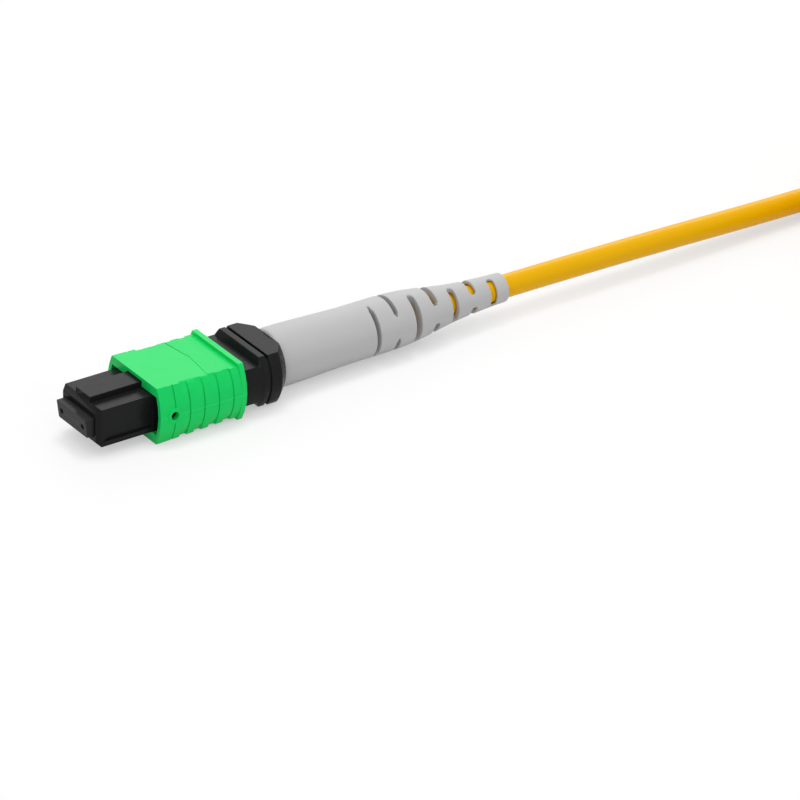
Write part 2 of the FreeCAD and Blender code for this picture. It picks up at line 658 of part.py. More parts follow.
def make_eased_edge(index, sign, suffix):
    """What is taken off one upper edge behind the first rib: a shallow facet, then a steep one."""
    out = size.shoulder_out
    up = size.shoulder_up
    section = outline(f"eased_section_{index}{suffix}", ACROSS, [
        ((out - size.shoulder_run) * sign, up + size.shoulder_fall), (out * sign, up),
        ((out + size.shoulder_drop) * sign, up - size.shoulder_drop),
        ((out + size.shoulder_drop * 2) * sign, size.sleeve_height / 2 + size.shoulder_drop),
        ((out - size.shoulder_run) * sign, size.sleeve_height / 2 + size.shoulder_drop)],
        y=sleeve_front + size.shoulder_start)
    return extrude(f"eased_edge_{index}{suffix}", section,
                   size.sleeve_length - size.ridge_length - size.shoulder_start,
                   FreeCAD.Vector(0, 1, 0))


def make_scoop_core(suffix):
    """What the scoops leave: drawn in at the corners, and clear of the sides at mid height."""
    front = barrel(f"scoop_front{suffix}", sleeve_front, size.sleeve_front_top - size.scoop_depth * 2,
                   size.sleeve_front_width + size.scoop_clear * 2, size.sleeve_height)
    rear = barrel(f"scoop_rear{suffix}", sleeve_rear, size.sleeve_rear_top - size.scoop_depth * 2,
                  size.sleeve_rear_width + size.scoop_clear * 2, size.sleeve_waist)
    return loft(f"scoop_core{suffix}", front, rear)


def make_lowered_top(suffix):
    """The sleeve's body lowered by the label field's depth."""
    side = outline(f"lowered_side{suffix}", FROM_SIDE, [
        (sleeve_front, zero), (sleeve_rear, zero),
        (sleeve_rear, size.sleeve_waist / 2 - size.label_depth),
        (sleeve_front, size.sleeve_height / 2 - size.label_depth)])
    return extrude(f"lowered_top{suffix}", side, size.sleeve_rear_width * 2,
                   FreeCAD.Vector(1, 0, 0), both_ways=True)


def cross_rod(name, station, radius, length):
    """A cylinder along X through the axis."""
    cylinder = document.addObject("Part::Cylinder", name)
    cylinder.Placement.Rotation = FreeCAD.Rotation(FreeCAD.Vector(0, 1, 0), 90)
    bind(cylinder, Radius=radius, Height=length, x=-length / 2, y=station)
    return cylinder


def make_sleeve_hollows(suffix, port_station):
    """Chamber, running bore, key slot, spring channels, rear recess and side port."""
    bore_height = size.plug_height + size.sleeve_play * 2
    chamber_front = barrel(f"chamber_front{suffix}", sleeve_front,
                           size.sleeve_front_top - size.sleeve_wall * 2,
                           size.sleeve_front_width - size.sleeve_wall * 2, size.sleeve_height)
    chamber_rear = barrel(f"chamber_rear{suffix}", sleeve_front + size.mouth_depth,
                          size.sleeve_front_top - size.sleeve_wall * 2,
                          size.sleeve_front_width - size.sleeve_wall * 2, size.sleeve_height)
    chamber = common(f"front_chamber{suffix}",
                     loft(f"chamber_body{suffix}", chamber_front, chamber_rear),
                     block(f"chamber_slab{suffix}", sleeve_front, size.mouth_depth,
                           size.sleeve_front_width, bore_height))
    bore = block(f"running_bore{suffix}", sleeve_front, size.sleeve_length,
                 size.plug_width + size.sleeve_play * 2, bore_height)
    key_clear = size.key_setback + size.key_length + size.sleeve_travel
    key_slot = block(f"key_slot{suffix}", sleeve_front, nose + key_clear - sleeve_front,
                     size.key_width + size.sleeve_play * 2,
                     size.key_height + size.sleeve_play,
                     z=size.plug_height / 2 + (size.key_height + size.sleeve_play) / 2)
    channel_width = (side_spring_x + size.side_spring_radius + size.channel_gap) * 2
    channels = block(f"spring_channels{suffix}", ledge_rear, sleeve_rear - ledge_rear,
                     channel_width, (size.side_spring_radius + size.channel_gap) * 2)
    recess = common(f"rear_recess{suffix}",
                    rod(f"recess_round{suffix}", ear_front - size.sleeve_play / 2,
                        sleeve_rear - ear_front + size.sleeve_play,
                        size.waist_radius + size.sleeve_play),
                    block(f"recess_flats{suffix}", ear_front - size.sleeve_play / 2,
                          sleeve_rear - ear_front + size.sleeve_play,
                          size.sleeve_rear_width, bore_height))
    port = cross_rod(f"side_port{suffix}", port_station, size.port_radius,
                     size.sleeve_rear_width * 2)
    return chamber, bore, key_slot, channels, recess, port


def document_label(feature, label):
    feature.Label = label
    return feature


def make_spring_push(suffix):
    """The rear body: spring seat, waist, strip, flange with flats, and the crimp stub."""
    waist = size.waist_height / 2
    flats = size.flats_height / 2
    groove = flats - size.relief_depth
    side = outline(f"rear_side{suffix}", FROM_SIDE, [
        (waist_front, -waist), (ramp_front, -waist), (strip_front, -flats),
        (relief_front, -flats), (relief_front, -groove), (flange_front, -groove),
        (flange_front, -flats), (boot_front, -flats), (boot_front, flats),
        (flange_front, flats), (flange_front, groove), (relief_front, groove),
        (relief_front, flats), (strip_front, flats), (ramp_front, waist), (waist_front, waist)])
    flanks = extrude(f"rear_flanks{suffix}", side, size.flange_radius * 2,
                     FreeCAD.Vector(1, 0, 0), both_ways=True)
    turned = revolve(f"rear_round{suffix}", outline(f"rear_radii{suffix}", FROM_ABOVE, [
        (zero, waist_front), (size.waist_radius, waist_front), (size.waist_radius, ramp_front),
        (size.strip_radius, strip_front), (size.strip_radius, relief_front),
        (size.waist_radius, relief_front), (size.waist_radius, flange_front),
        (size.flange_radius, flange_front), (size.flange_radius, cone_front),
        (size.cone_radius, boot_front), (zero, boot_front)]))
    insert = block(f"rear_insert{suffix}", insert_front, size.insert_length,
                   size.collar_width + (size.ferrule_play - size.insert_play) * 2,
                   size.collar_height + (size.ferrule_play - size.insert_play) * 2)
    hook_front = plug_rear - size.hook_window * 2
    hooks = outline(f"hook_plan{suffix}", FROM_ABOVE, [
        (size.collar_width / 2, hook_front + size.ferrule_play),
        (size.collar_width / 2 + size.hook_reach, hook_front + size.hook_window - size.insert_play),
        (-size.collar_width / 2 - size.hook_reach, hook_front + size.hook_window - size.insert_play),
        (-size.collar_width / 2, hook_front + size.ferrule_play)])
    hook_bar = extrude(f"rear_hooks{suffix}", hooks, size.hook_height - size.insert_play * 2,
                       FreeCAD.Vector(0, 0, 1), both_ways=True)
    ears = cut(f"rear_ears{suffix}",
               block(f"ear_bar{suffix}", ear_front, waist_front - ear_front,
                     (side_spring_x + size.side_spring_radius) * 2, size.ear_height),
               block(f"ear_gap{suffix}", ear_front, waist_front - ear_front,
                     size.plug_width + size.sleeve_play * 2, size.plug_height))
    stub = rod(f"crimp_stub{suffix}", boot_front, size.stub_length, size.stub_radius)
    passage = block(f"ribbon_passage{suffix}", insert_front, ramp_front - insert_front,
                    size.passage_width, size.passage_height)
    bore = rod(f"fibre_bore{suffix}", ramp_front, stub_rear - ramp_front, size.passage_radius)
    solid = fuse(f"rear_solid{suffix}", common(f"rear_body{suffix}", flanks, turned),
                 insert, hook_bar, ears, stub)
    return cut(f"spring_push{suffix}", solid, passage, bore)


def sleeve_of_revolution(name, outer, inner):
    """A thin turned piece between two lists of (radius, station)."""
    return revolve(name, outline(f"{name}_outline", FROM_ABOVE, outer + inner[::-1]))


ring_front = boot_front + size.ring_setback
ring_rear = stub_rear + size.ring_tail


def make_aramid_yarn(suffix):
    """Strength yarn spread over the stub, under the ring."""
    outer = [(size.stub_radius + size.yarn_thickness, ring_front),
             (size.stub_radius + size.yarn_thickness, stub_rear)]
    inner = [(size.stub_radius, ring_front), (size.stub_radius, stub_rear)]
    return sleeve_of_revolution(f"aramid_yarn{suffix}", outer, inner)


def make_crimp_ring(suffix):
    """The stepped metal ring, crimped over the yarn on the stub and over the cable."""
    wall = size.ring_wall
    wide = size.stub_radius + size.yarn_thickness
    shoulder = stub_rear + wall
    inner = [(wide, ring_front), (wide, stub_rear),
             (size.cable_radius, stub_rear), (size.cable_radius, ring_rear)]
    outer = [(wide + wall, ring_front), (wide + wall, shoulder),
             (size.cable_radius + wall, shoulder), (size.cable_radius + wall, ring_rear)]
    return sleeve_of_revolution(f"crimp_ring{suffix}", outer, inner)


def make_boot(suffix):
    """The strain relief: a long tapered tube with rows of slots turned a quarter each time."""
    ease = boot_front + size.boot_ease
    taper = boot_front + size.boot_taper
    crown = boot_front + size.boot_crown
    hollow = boot_front + size.boot_hollow
    clear = size.boot_bore_gap
    wide = size.stub_radius + size.yarn_thickness + size.ring_wall + clear
    narrow = size.cable_radius + size.ring_wall + clear
    snug = size.cable_radius + clear
    points = [
        (wide, boot_front), (size.boot_radius, boot_front),
        (size.boot_radius, boot_front + size.boot_shoulder),
        (size.boot_body_radius, ease), (size.boot_body_radius, taper),
        (size.boot_crown_radius, crown), (size.boot_hollow_radius, hollow),
        (size.boot_end_radius, boot_rear - size.boot_rounding),
        (size.boot_end_radius - size.boot_rounding, boot_rear), (snug, boot_rear),
        (snug, ring_rear + clear), (narrow, ring_rear + clear),
        (narrow, stub_rear + size.ring_wall + clear), (wide, stub_rear + size.ring_wall + clear)]
    blank = revolve(f"boot_blank{suffix}", outline(f"boot_outline{suffix}", FROM_ABOVE, points))
    slots = []
    for index in range(int(value_of(size.slot_rows))):
        slots.extend(make_slot_pair(index, suffix))
    return cut(f"boot{suffix}", blank, *slots)


def make_slot_pair(index, suffix):
    """Two slots on opposite sides of the boot: left and right, or in the next row top and bottom."""
    share = min(index / 2, 1)
    width = size.slot_first_width + (size.slot_width - size.slot_first_width) * share
    station = boot_front + size.slot_start + size.slot_pitch * index
    quarter = 90 * (index % 2)
    pair = []
    for side in (0, 180):
        slot = document.addObject("Part::Cylinder", f"slot_{index}_{side}{suffix}")
        middle = Size(quarter + side, str(quarter + side)) - size.boot_roll
        opening = middle - size.slot_span / 2
        turn = FreeCAD.Rotation(FreeCAD.Vector(0, 1, 0), opening.value)
        lie = FreeCAD.Rotation(FreeCAD.Vector(1, 0, 0), -90)
        slot.Placement.Rotation = turn * lie
        slot.Angle = size.slot_span.value
        bind(slot, Angle=size.slot_span, Radius=size.boot_radius * 2, Height=width,
             y=station - width / 2)
        pair.append(slot)
    return pair


def make_cable_end(suffix):
    """The cable inside the boot, with the bore that the fibres run into."""
    jacket = rod(f"cable_jacket{suffix}", cable_front, boot_rear - cable_front, size.cable_radius)
    bore = rod(f"cable_fibre_bore{suffix}", cable_front, size.cable_bore_depth, size.cable_bore)
    return cut(f"cable_end{suffix}", jacket, bore)


# ---------------------------------------------------------------- the lead between the ends

cable_width = value_of(size.cable_radius * 2)
boot_end = value_of(half_length)
coil_inner = value_of(size.coil_middle_radius) - cable_width * value_of(size.coil_columns) / 2
coil_outer = value_of(size.coil_middle_radius) + cable_width * value_of(size.coil_columns) / 2
coil_height = cable_width * value_of(size.coil_rows)
coil_floor = value_of(size.tie_thickness)
outer_turn = coil_outer - cable_width / 2
coil_centre = FreeCAD.Vector(outer_turn - value_of(size.lead_shift),
                             boot_end + value_of(size.lead_run), coil_floor)


def make_tube(name, route):
    """A cable along a route: straight runs with an arc round each point between them."""
    points = [FreeCAD.Vector(*place) for place in route]
    edges = []
    length = 0.0
    start = points[0]
    for before, corner, after in zip(points, points[1:], points[2:]):
        arriving = (corner - before).normalize()
        leaving = (after - corner).normalize()
        half_turn = arriving.getAngle(leaving) / 2
        reach = 0.45 * min((corner - before).Length, (after - corner).Length)
        radius = reach / math.tan(half_turn)
        first = corner - arriving * reach
        last = corner + leaving * reach
        towards_centre = (leaving - arriving).normalize()
        middle = corner + towards_centre * (radius / math.cos(half_turn) - radius)
        edges.append(Part.LineSegment(start, first).toShape())
        edges.append(Part.Arc(first, middle, last).toShape())
        length += (first - start).Length + radius * half_turn * 2
        start = last
        print(f"{name}: arc radius {radius:.1f}")
    edges.append(Part.LineSegment(start, points[-1]).toShape())
    length += (points[-1] - start).Length
    path = Part.Wire(edges)
    heading = (points[1] - points[0]).normalize()
    circle = Part.Wire(Part.makeCircle(value_of(size.cable_radius), points[0], heading))
    tube = document.addObject("Part::Feature", name)
    tube.Shape = path.makePipeShell([circle], True, False)
    expected = math.pi * value_of(size.cable_radius) ** 2 * length
    if abs(tube.Shape.Volume / expected - 1) > 0.01:
        raise ValueError(f"{name} has volume {tube.Shape.Volume:.1f}, not {expected:.1f}")
    return tube


def make_coil():
    """The put-away turns as one ring of their outer shape, lying on its tie."""
    outer = Part.makeCylinder(coil_outer, coil_height, coil_centre)
    inner = Part.makeCylinder(coil_inner, coil_height, coil_centre)
    coil = document.addObject("Part::Feature", "cable_coil")
    coil.Shape = outer.cut(inner)
    return coil


def make_coil_tie():
    """A hook-and-loop strap round the coil's turns, on the side away from the connectors."""
    thickness = value_of(size.tie_thickness)
    width = value_of(size.tie_width)
    clear = 0.05
    inner_face = math.sqrt(coil_inner ** 2 - (width / 2) ** 2) - clear
    lowest = FreeCAD.Vector(coil_centre.x + inner_face - thickness,
                            coil_centre.y - width / 2, 0)
    across = coil_outer + clear - inner_face + thickness * 2
    height = coil_height + thickness * 2
    strap = Part.makeBox(across, width, height, lowest)
    hollow = Part.makeBox(across - thickness * 2, width, height - thickness * 2,
                          lowest + FreeCAD.Vector(thickness, 0, thickness))
    tie = document.addObject("Part::Feature", "coil_tie")
    tie.Shape = strap.cut(hollow)
    return tie


def make_lead():
    """The cable from boot to coil and from coil to boot, with the coil and its tie."""
    axis = value_of(axis_height)
    drift = -value_of(size.lead_shift)
    layer = coil_floor + cable_width / 2
    coil_y = coil_centre.y
    lead = make_tube("cable_run", [
        (0, boot_end, axis), (-0.3, boot_end + 20, axis - 0.5),
        (-1.2, boot_end + 42, axis - 1.5), (drift, coil_y - 2, layer)])
    back = make_tube("cable_run_far", [
        (drift, coil_y, layer + cable_width), (drift, coil_y + 8, axis + 0.4),
        (drift, coil_y + value_of(size.return_run), axis)])
    return [lead, make_coil(), make_coil_tie(), back]


# ---------------------------------------------------------------- both ends of the lead


def make_connector(suffix):
    """All the pieces of one connector, in its own frame."""
    return [
        make_ferrule(suffix),
        make_ferrule_boot(suffix),
        make_pin_clamp(suffix),
        make_ferrule_spring(suffix),
        make_fibre_ribbon(suffix),
        make_inner_housing(suffix),
        make_outer_housing(suffix),
        make_side_spring(f"side_spring_left{suffix}", -1),
        make_side_spring(f"side_spring_right{suffix}", 1),
        make_spring_push(suffix),
        make_aramid_yarn(suffix),
        make_crimp_ring(suffix),
        make_boot(suffix),
        make_cable_end(suffix),
    ]


far_tip = size.lead_run + size.return_run + boot_rear + half_length
nodes = []
for suffix, shift, tip, turn in (("", zero, -half_length, 0),
                                 ("_far", -size.lead_shift, far_tip, 180)):
    for piece in make_connector(suffix):
        piece.Placement = FreeCAD.Placement(
            FreeCAD.Vector(), FreeCAD.Rotation(FreeCAD.Vector(0, 0, 1), turn))
        bind(piece, x=shift, y=tip, z=axis_height)
        nodes.append(piece)
nodes.extend(make_lead())
document.recompute()

for feature in document.Objects:
    if {"Invalid", "Error"} & set(feature.State):
        raise RuntimeError(f"{feature.Name} did not build: {feature.State}")

os.makedirs("parts", exist_ok=True)
for node in nodes:
    shape = node.Shape
    if shape.isNull() or not shape.isValid() or len(shape.Solids) != 1:
        raise RuntimeError(f"{node.Label} is not one valid solid")
    shape.exportStep(os.path.join("parts", f"{node.Label}.step"))
    print(f"{node.Label}: {shape.Volume:.2f} mm3")
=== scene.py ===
import json
import math

import bmesh
import bpy
from mathutils import Matrix, Vector

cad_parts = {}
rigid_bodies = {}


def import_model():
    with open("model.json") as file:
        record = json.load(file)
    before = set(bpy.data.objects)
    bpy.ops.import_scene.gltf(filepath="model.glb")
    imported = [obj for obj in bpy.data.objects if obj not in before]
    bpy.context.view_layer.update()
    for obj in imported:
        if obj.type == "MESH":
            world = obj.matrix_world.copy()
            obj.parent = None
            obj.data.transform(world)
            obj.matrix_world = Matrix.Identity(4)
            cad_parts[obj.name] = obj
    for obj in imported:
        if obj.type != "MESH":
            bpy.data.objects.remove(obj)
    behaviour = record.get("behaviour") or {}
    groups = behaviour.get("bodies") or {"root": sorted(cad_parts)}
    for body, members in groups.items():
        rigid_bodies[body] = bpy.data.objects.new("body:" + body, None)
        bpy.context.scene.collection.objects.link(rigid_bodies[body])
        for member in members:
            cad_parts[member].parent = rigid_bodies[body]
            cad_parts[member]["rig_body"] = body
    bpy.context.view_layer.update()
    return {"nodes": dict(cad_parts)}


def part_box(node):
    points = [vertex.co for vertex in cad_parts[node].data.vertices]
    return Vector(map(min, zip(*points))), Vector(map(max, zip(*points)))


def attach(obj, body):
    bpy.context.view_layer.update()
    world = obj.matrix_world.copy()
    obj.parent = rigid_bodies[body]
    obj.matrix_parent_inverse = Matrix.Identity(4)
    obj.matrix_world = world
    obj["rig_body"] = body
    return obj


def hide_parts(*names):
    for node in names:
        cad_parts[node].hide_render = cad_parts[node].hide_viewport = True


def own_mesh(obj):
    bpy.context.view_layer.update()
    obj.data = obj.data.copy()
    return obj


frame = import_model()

scene = bpy.context.scene

# ------------------------------------------------------------------------------------------
# The ferrule: a block of glass-filled engineering plastic, moulded to a few microns. Its face
# is polished at a slant, with two guide holes and a row of twelve glass fibre ends flush in it.

MM = 0.001
WELD = 0.002 * MM
# Each connector's ending in the names of its pieces, and which way along Y it runs back.
ENDS = {"": 1, "_far": -1}


def new_material(name):
    """A node material with its shader and its object coordinates ready to use."""
    made = bpy.data.materials.new(name)
    made.use_nodes = True
    shader = made.node_tree.nodes["Principled BSDF"]
    place = made.node_tree.nodes.new("ShaderNodeTexCoord").outputs["Object"]
    return made, made.node_tree, shader, place


def add(tree, kind, inputs=None, **settings):
    """A new node with its settings, and its inputs joined or set."""
    node = tree.nodes.new(kind)
    for name, value in settings.items():
        setattr(node, name, value)
    for socket, value in (inputs or {}).items():
        if isinstance(value, bpy.types.NodeSocket):
            tree.links.new(value, node.inputs[socket])
        else:
            node.inputs[socket].default_value = value
    return node


def calculate(tree, operation, *values):
    """The result of one Math node."""
    return add(tree, "ShaderNodeMath", dict(enumerate(values)), operation=operation).outputs[0]


def noise(tree, place, grain, detail=3.0):
    """Soft random grey whose blotches are about one grain across, in metres."""
    return add(tree, "ShaderNodeTexNoise",
               {"Vector": place, "Scale": 1 / grain, "Detail": detail}).outputs["Fac"]


def tinted(tree, amount, darker, lighter):
    """A colour between two tones."""
    mix = add(tree, "ShaderNodeMix", {"Factor": amount}, data_type="RGBA")
    mix.inputs["A"].default_value = (*darker, 1)
    mix.inputs["B"].default_value = (*lighter, 1)
    return mix.outputs["Result"]


def between(tree, amount, low, high):
    """A number between two limits."""
    return add(tree, "ShaderNodeMapRange",
               {"Value": amount, "To Min": low, "To Max": high}).outputs["Result"]


def moulded(name, colour, shade, roughness, grain, depth, shine=0.15):
    """Moulded plastic or rubber: faint flow marks, an uneven gloss and a fine texture. Shade
    is how dark the flow marks are, grain and depth are the texture's size and height."""
    flow_marks, gloss_marks, unevenness = 2.5 * MM, 0.9 * MM, 0.15
    made, tree, shader, place = new_material(name)
    flow = noise(tree, place, flow_marks)
    fine = noise(tree, place, grain, 4.0)
    darker = tuple(part * shade for part in colour)
    tree.links.new(tinted(tree, flow, darker, colour), shader.inputs["Base Color"])
    gloss = between(tree, noise(tree, place, gloss_marks),
                    roughness * (1 - unevenness), roughness * (1 + unevenness))
    tree.links.new(gloss, shader.inputs["Roughness"])
    shader.inputs["Specular IOR Level"].default_value = shine
    bump = add(tree, "ShaderNodeBump", {"Height": fine, "Distance": depth, "Strength": 0.6})
    tree.links.new(bump.outputs["Normal"], shader.inputs["Normal"])
    return made


def softened(node, material, rounding, within=None):
    """A copy of a solid whose edges are rounded as a moulding's are; it stands for the solid.
    With within, only outer edges whose ends pass that test are rounded, to their full width."""
    edge_turn, flat_turn = math.radians(28), math.radians(0.6)
    source = frame["nodes"][node]
    form = bmesh.new()
    form.from_mesh(source.data)
    bmesh.ops.remove_doubles(form, verts=form.verts, dist=WELD)
    bmesh.ops.dissolve_limit(form, angle_limit=flat_turn, verts=form.verts, edges=form.edges)
    for face in form.faces:
        face.smooth = True
    if within:
        weight = form.edges.layers.float.new("bevel_weight_edge")
        for edge in form.edges:
            if edge.calc_face_angle(0) > edge_turn:
                if edge.is_convex and all(within(corner.co) for corner in edge.verts):
                    edge[weight] = 1.0
                else:
                    edge.smooth = False
    mesh = bpy.data.meshes.new(node + "_form")
    form.to_mesh(mesh)
    form.free()
    mesh.materials.append(material)
    piece = bpy.data.objects.new(node + "_moulded", mesh)
    scene.collection.objects.link(piece)
    bevel = piece.modifiers.new("edge rounding", "BEVEL")
    bevel.width = rounding
    bevel.segments = 2
    bevel.limit_method = "WEIGHT" if within else "ANGLE"
    bevel.angle_limit = edge_turn
    bevel.harden_normals = True
    bevel.use_clamp_overlap = within is None
    bevel.miter_outer = "MITER_ARC"
    flats = piece.modifiers.new("flat faces stay flat", "WEIGHTED_NORMAL")
    flats.weight, flats.keep_sharp = 60, True
    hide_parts(node)
    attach(piece, source["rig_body"])
    return piece


def new_tree(name, sizes):
    """An empty Geometry Nodes tree, with one named input for each size."""
    tree = bpy.data.node_groups.new(name, "GeometryNodeTree")
    for label, value in sizes.items():
        kind = "NodeSocketInt" if isinstance(value, int) else "NodeSocketFloat"
        tree.interface.new_socket(label, in_out="INPUT", socket_type=kind).default_value = value
    tree.interface.new_socket("Geometry", in_out="OUTPUT", socket_type="NodeSocketGeometry")
    return tree, tree.nodes.new("NodeGroupInput").outputs


def finish_tree(tree, geometry, material):
    """Real geometry with its finish, as the tree's result."""
    real = add(tree, "GeometryNodeRealizeInstances", {"Geometry": geometry})
    dressed_up = add(tree, "GeometryNodeSetMaterial",
                     {"Geometry": real.outputs[0], "Material": material})
    out = tree.nodes.new("NodeGroupOutput")
    tree.links.new(dressed_up.outputs[0], out.inputs[0])


def grown(name, tree, place, values=None):
    """The mesh that a tree makes, laid in the model's frame, as a plain piece."""
    seed = bpy.data.objects.new(name, bpy.data.meshes.new(name))
    scene.collection.objects.link(seed)
    growth = seed.modifiers.new("growth", "NODES")
    growth.node_group = tree
    for item in tree.interface.items_tree:
        if item.in_out == "INPUT" and item.name in (values or {}):
            growth[item.identifier] = values[item.name]
    settled = seed.evaluated_get(bpy.context.evaluated_depsgraph_get())
    mesh = bpy.data.meshes.new_from_object(settled)
    seed.modifiers.clear()
    mesh.transform(place)
    seed.data = mesh
    return seed


def end_middle(node, back):
    """The middle of a node's lowest or highest end along Y."""
    low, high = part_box(node)
    return Vector(((low.x + high.x) / 2, high.y if back else low.y, (low.z + high.z) / 2))


def fibre_row(material):
    """Polished fibre ends in a straight row along X, looking along Z."""
    tree, size = new_tree("fibre ends", {
        "Fibres": 12, "Pitch": 0.25 * MM, "Radius": 0.0625 * MM, "Proud": 0.012 * MM})
    step = add(tree, "ShaderNodeCombineXYZ", {"X": size["Pitch"]})
    half_back = calculate(tree, "MULTIPLY", size["Pitch"], -0.5)
    steps = calculate(tree, "SUBTRACT", size["Fibres"], 1)
    start = add(tree, "ShaderNodeCombineXYZ",
                {"X": calculate(tree, "MULTIPLY", steps, half_back)})
    row = add(tree, "GeometryNodeMeshLine", {
        "Count": size["Fibres"], "Start Location": start.outputs[0], "Offset": step.outputs[0]})
    end_face = add(tree, "GeometryNodeMeshCylinder", {
        "Vertices": 16, "Radius": size["Radius"], "Depth": size["Proud"]})
    placed = add(tree, "GeometryNodeInstanceOnPoints", {
        "Points": row.outputs[0], "Instance": end_face.outputs["Mesh"]})
    finish_tree(tree, placed.outputs[0], material)
    return tree


ferrule_plastic = moulded("glass filled black", (0.035, 0.035, 0.037), shade=0.92,
                          roughness=0.24, grain=0.08 * MM, depth=0.001 * MM, shine=0.05)
polished_glass = moulded("polished fibre ends", (0.004, 0.004, 0.006), shade=0.5,
                         roughness=0.08, grain=0.02 * MM, depth=0.0001 * MM, shine=0.4)
row_tree = fibre_row(polished_glass)
bpy.context.view_layer.update()
for end, sign in ENDS.items():
    before = end_middle("ferrule" + end, sign < 0) - Vector((0, sign * MM, 0))
    _, spot, slant, _ = frame["nodes"]["ferrule" + end].ray_cast(before, Vector((0, sign, 0)))
    softened("ferrule" + end, ferrule_plastic, rounding=0.05 * MM)
    across = Vector((1, 0, 0))
    facing = Matrix((across, slant.cross(across), slant)).transposed().to_4x4()
    ends = grown("fibre_ends" + end, row_tree, Matrix.Translation(spot) @ facing)
    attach(ends, "ferrule_group" + end)

# ------------------------------------------------------------------------------------------
# Behind the ferrule: a soft boot grips the ribbon in the ferrule's back, a pressed steel clamp
# sits behind it, and the ribbon's twelve coated fibres, each in its own colour, run through.


def dressed(node, material):
    """A solid that keeps its own mesh and gets a finish."""
    piece = frame["nodes"][node]
    piece.data.materials.clear()
    piece.data.materials.append(material)
    return piece


def metal(name, colour, roughness, grain, depth):
    """Drawn, pressed or turned metal: the moulded finish, made metallic."""
    made = moulded(name, colour, shade=0.85, roughness=roughness, grain=grain, depth=depth,
                   shine=0.5)
    made.node_tree.nodes["Principled BSDF"].inputs["Metallic"].default_value = 1.0
    return made


def ribbon_colours():
    """Twelve coated fibres side by side across X, in the usual order of colours."""
    made, tree, shader, place = new_material("coated ribbon")
    low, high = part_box("fibre_ribbon")
    across = add(tree, "ShaderNodeSeparateXYZ", {0: place}).outputs["X"]
    share = add(tree, "ShaderNodeMapRange",
                {"Value": across, "From Min": low.x, "From Max": high.x})
    ramp = add(tree, "ShaderNodeValToRGB", {"Fac": share.outputs["Result"]})
    ramp.color_ramp.interpolation = "CONSTANT"
    colours = ((0.02, 0.15, 0.7), (0.9, 0.25, 0.01), (0.02, 0.4, 0.05), (0.2, 0.08, 0.02),
               (0.3, 0.33, 0.36), (0.85, 0.85, 0.85), (0.7, 0.02, 0.02), (0.02, 0.02, 0.02),
               (0.9, 0.7, 0.02), (0.25, 0.05, 0.4), (0.9, 0.4, 0.5), (0.1, 0.6, 0.65))
    stops = ramp.color_ramp.elements
    for index, colour in enumerate(colours):
        begins = index / len(colours)
        stop = stops[index] if index < 2 else stops.new(begins)
        stop.position = begins
        stop.color = (*colour, 1)
    tree.links.new(ramp.outputs["Color"], shader.inputs["Base Color"])
    gloss = between(tree, noise(tree, place, 0.5 * MM), 0.25, 0.4)
    tree.links.new(gloss, shader.inputs["Roughness"])
    return made


white_rubber = moulded("soft white rubber", (0.62, 0.62, 0.6), shade=0.9, roughness=0.6,
                       grain=0.1 * MM, depth=0.004 * MM)
pressed_steel = metal("pressed steel", (0.55, 0.55, 0.57), roughness=0.35, grain=0.15 * MM,
                      depth=0.003 * MM)
ribbon_coating = ribbon_colours()
for end in ENDS:
    dressed("ferrule_boot" + end, white_rubber)
    dressed("pin_clamp" + end, pressed_steel)
    dressed("fibre_ribbon" + end, ribbon_coating)

# ------------------------------------------------------------------------------------------
# The springs: an oval one of steel wire pushes the ferrule forward, and two small round ones
# push the sleeve forward. Each is wound on a mandrel; the real one shortens as its piece is pushed
# back, but each coil here keeps its solid's length.


def wound_spring(material):
    """A spring of round wire along Z, wound in a circle, or in a racetrack's shape along X."""
    tree, size = new_tree("wound spring", {
        "Turns": 6.0, "Length": 6.0 * MM, "Outer radius": 0.5 * MM, "Straight": 0.0,
        "Wire": 0.2 * MM, "Steps": 48})
    wire = calculate(tree, "MULTIPLY", size["Wire"], 0.5)
    bend = calculate(tree, "SUBTRACT", size["Outer radius"], wire)
    rise = calculate(tree, "SUBTRACT", size["Length"], size["Wire"])
    coil = add(tree, "GeometryNodeCurveSpiral", {
        "Resolution": size["Steps"], "Rotations": size["Turns"], "Start Radius": bend,
        "End Radius": bend, "Height": rise})
    here = add(tree, "ShaderNodeSeparateXYZ",
               {0: tree.nodes.new("GeometryNodeInputPosition").outputs[0]})
    side = calculate(tree, "MULTIPLY", calculate(tree, "SIGN", here.outputs["X"]),
                     size["Straight"])
    shift = add(tree, "ShaderNodeCombineXYZ", {"X": side, "Z": wire})
    spread = add(tree, "GeometryNodeSetPosition",
                 {"Geometry": coil.outputs[0], "Offset": shift.outputs[0]})
    section = add(tree, "GeometryNodeCurvePrimitiveCircle", {"Resolution": 10, "Radius": wire})
    drawn = add(tree, "GeometryNodeCurveToMesh", {
        "Curve": spread.outputs[0], "Profile Curve": section.outputs[0], "Fill Caps": True})
    smooth = add(tree, "GeometryNodeSetShadeSmooth", {"Geometry": drawn.outputs[0]})
    finish_tree(tree, smooth.outputs[0], material)
    return tree


def laid_back(front, sign):
    """The place of a thing made along Z that is to run back from a spot of a connector."""
    return Matrix.Translation(front) @ Matrix.Rotation(math.radians(-90 * sign), 4, "X")


spring_steel = metal("spring steel", (0.6, 0.6, 0.62), roughness=0.25, grain=0.05 * MM,
                     depth=0.001 * MM)
spring_tree = wound_spring(spring_steel)
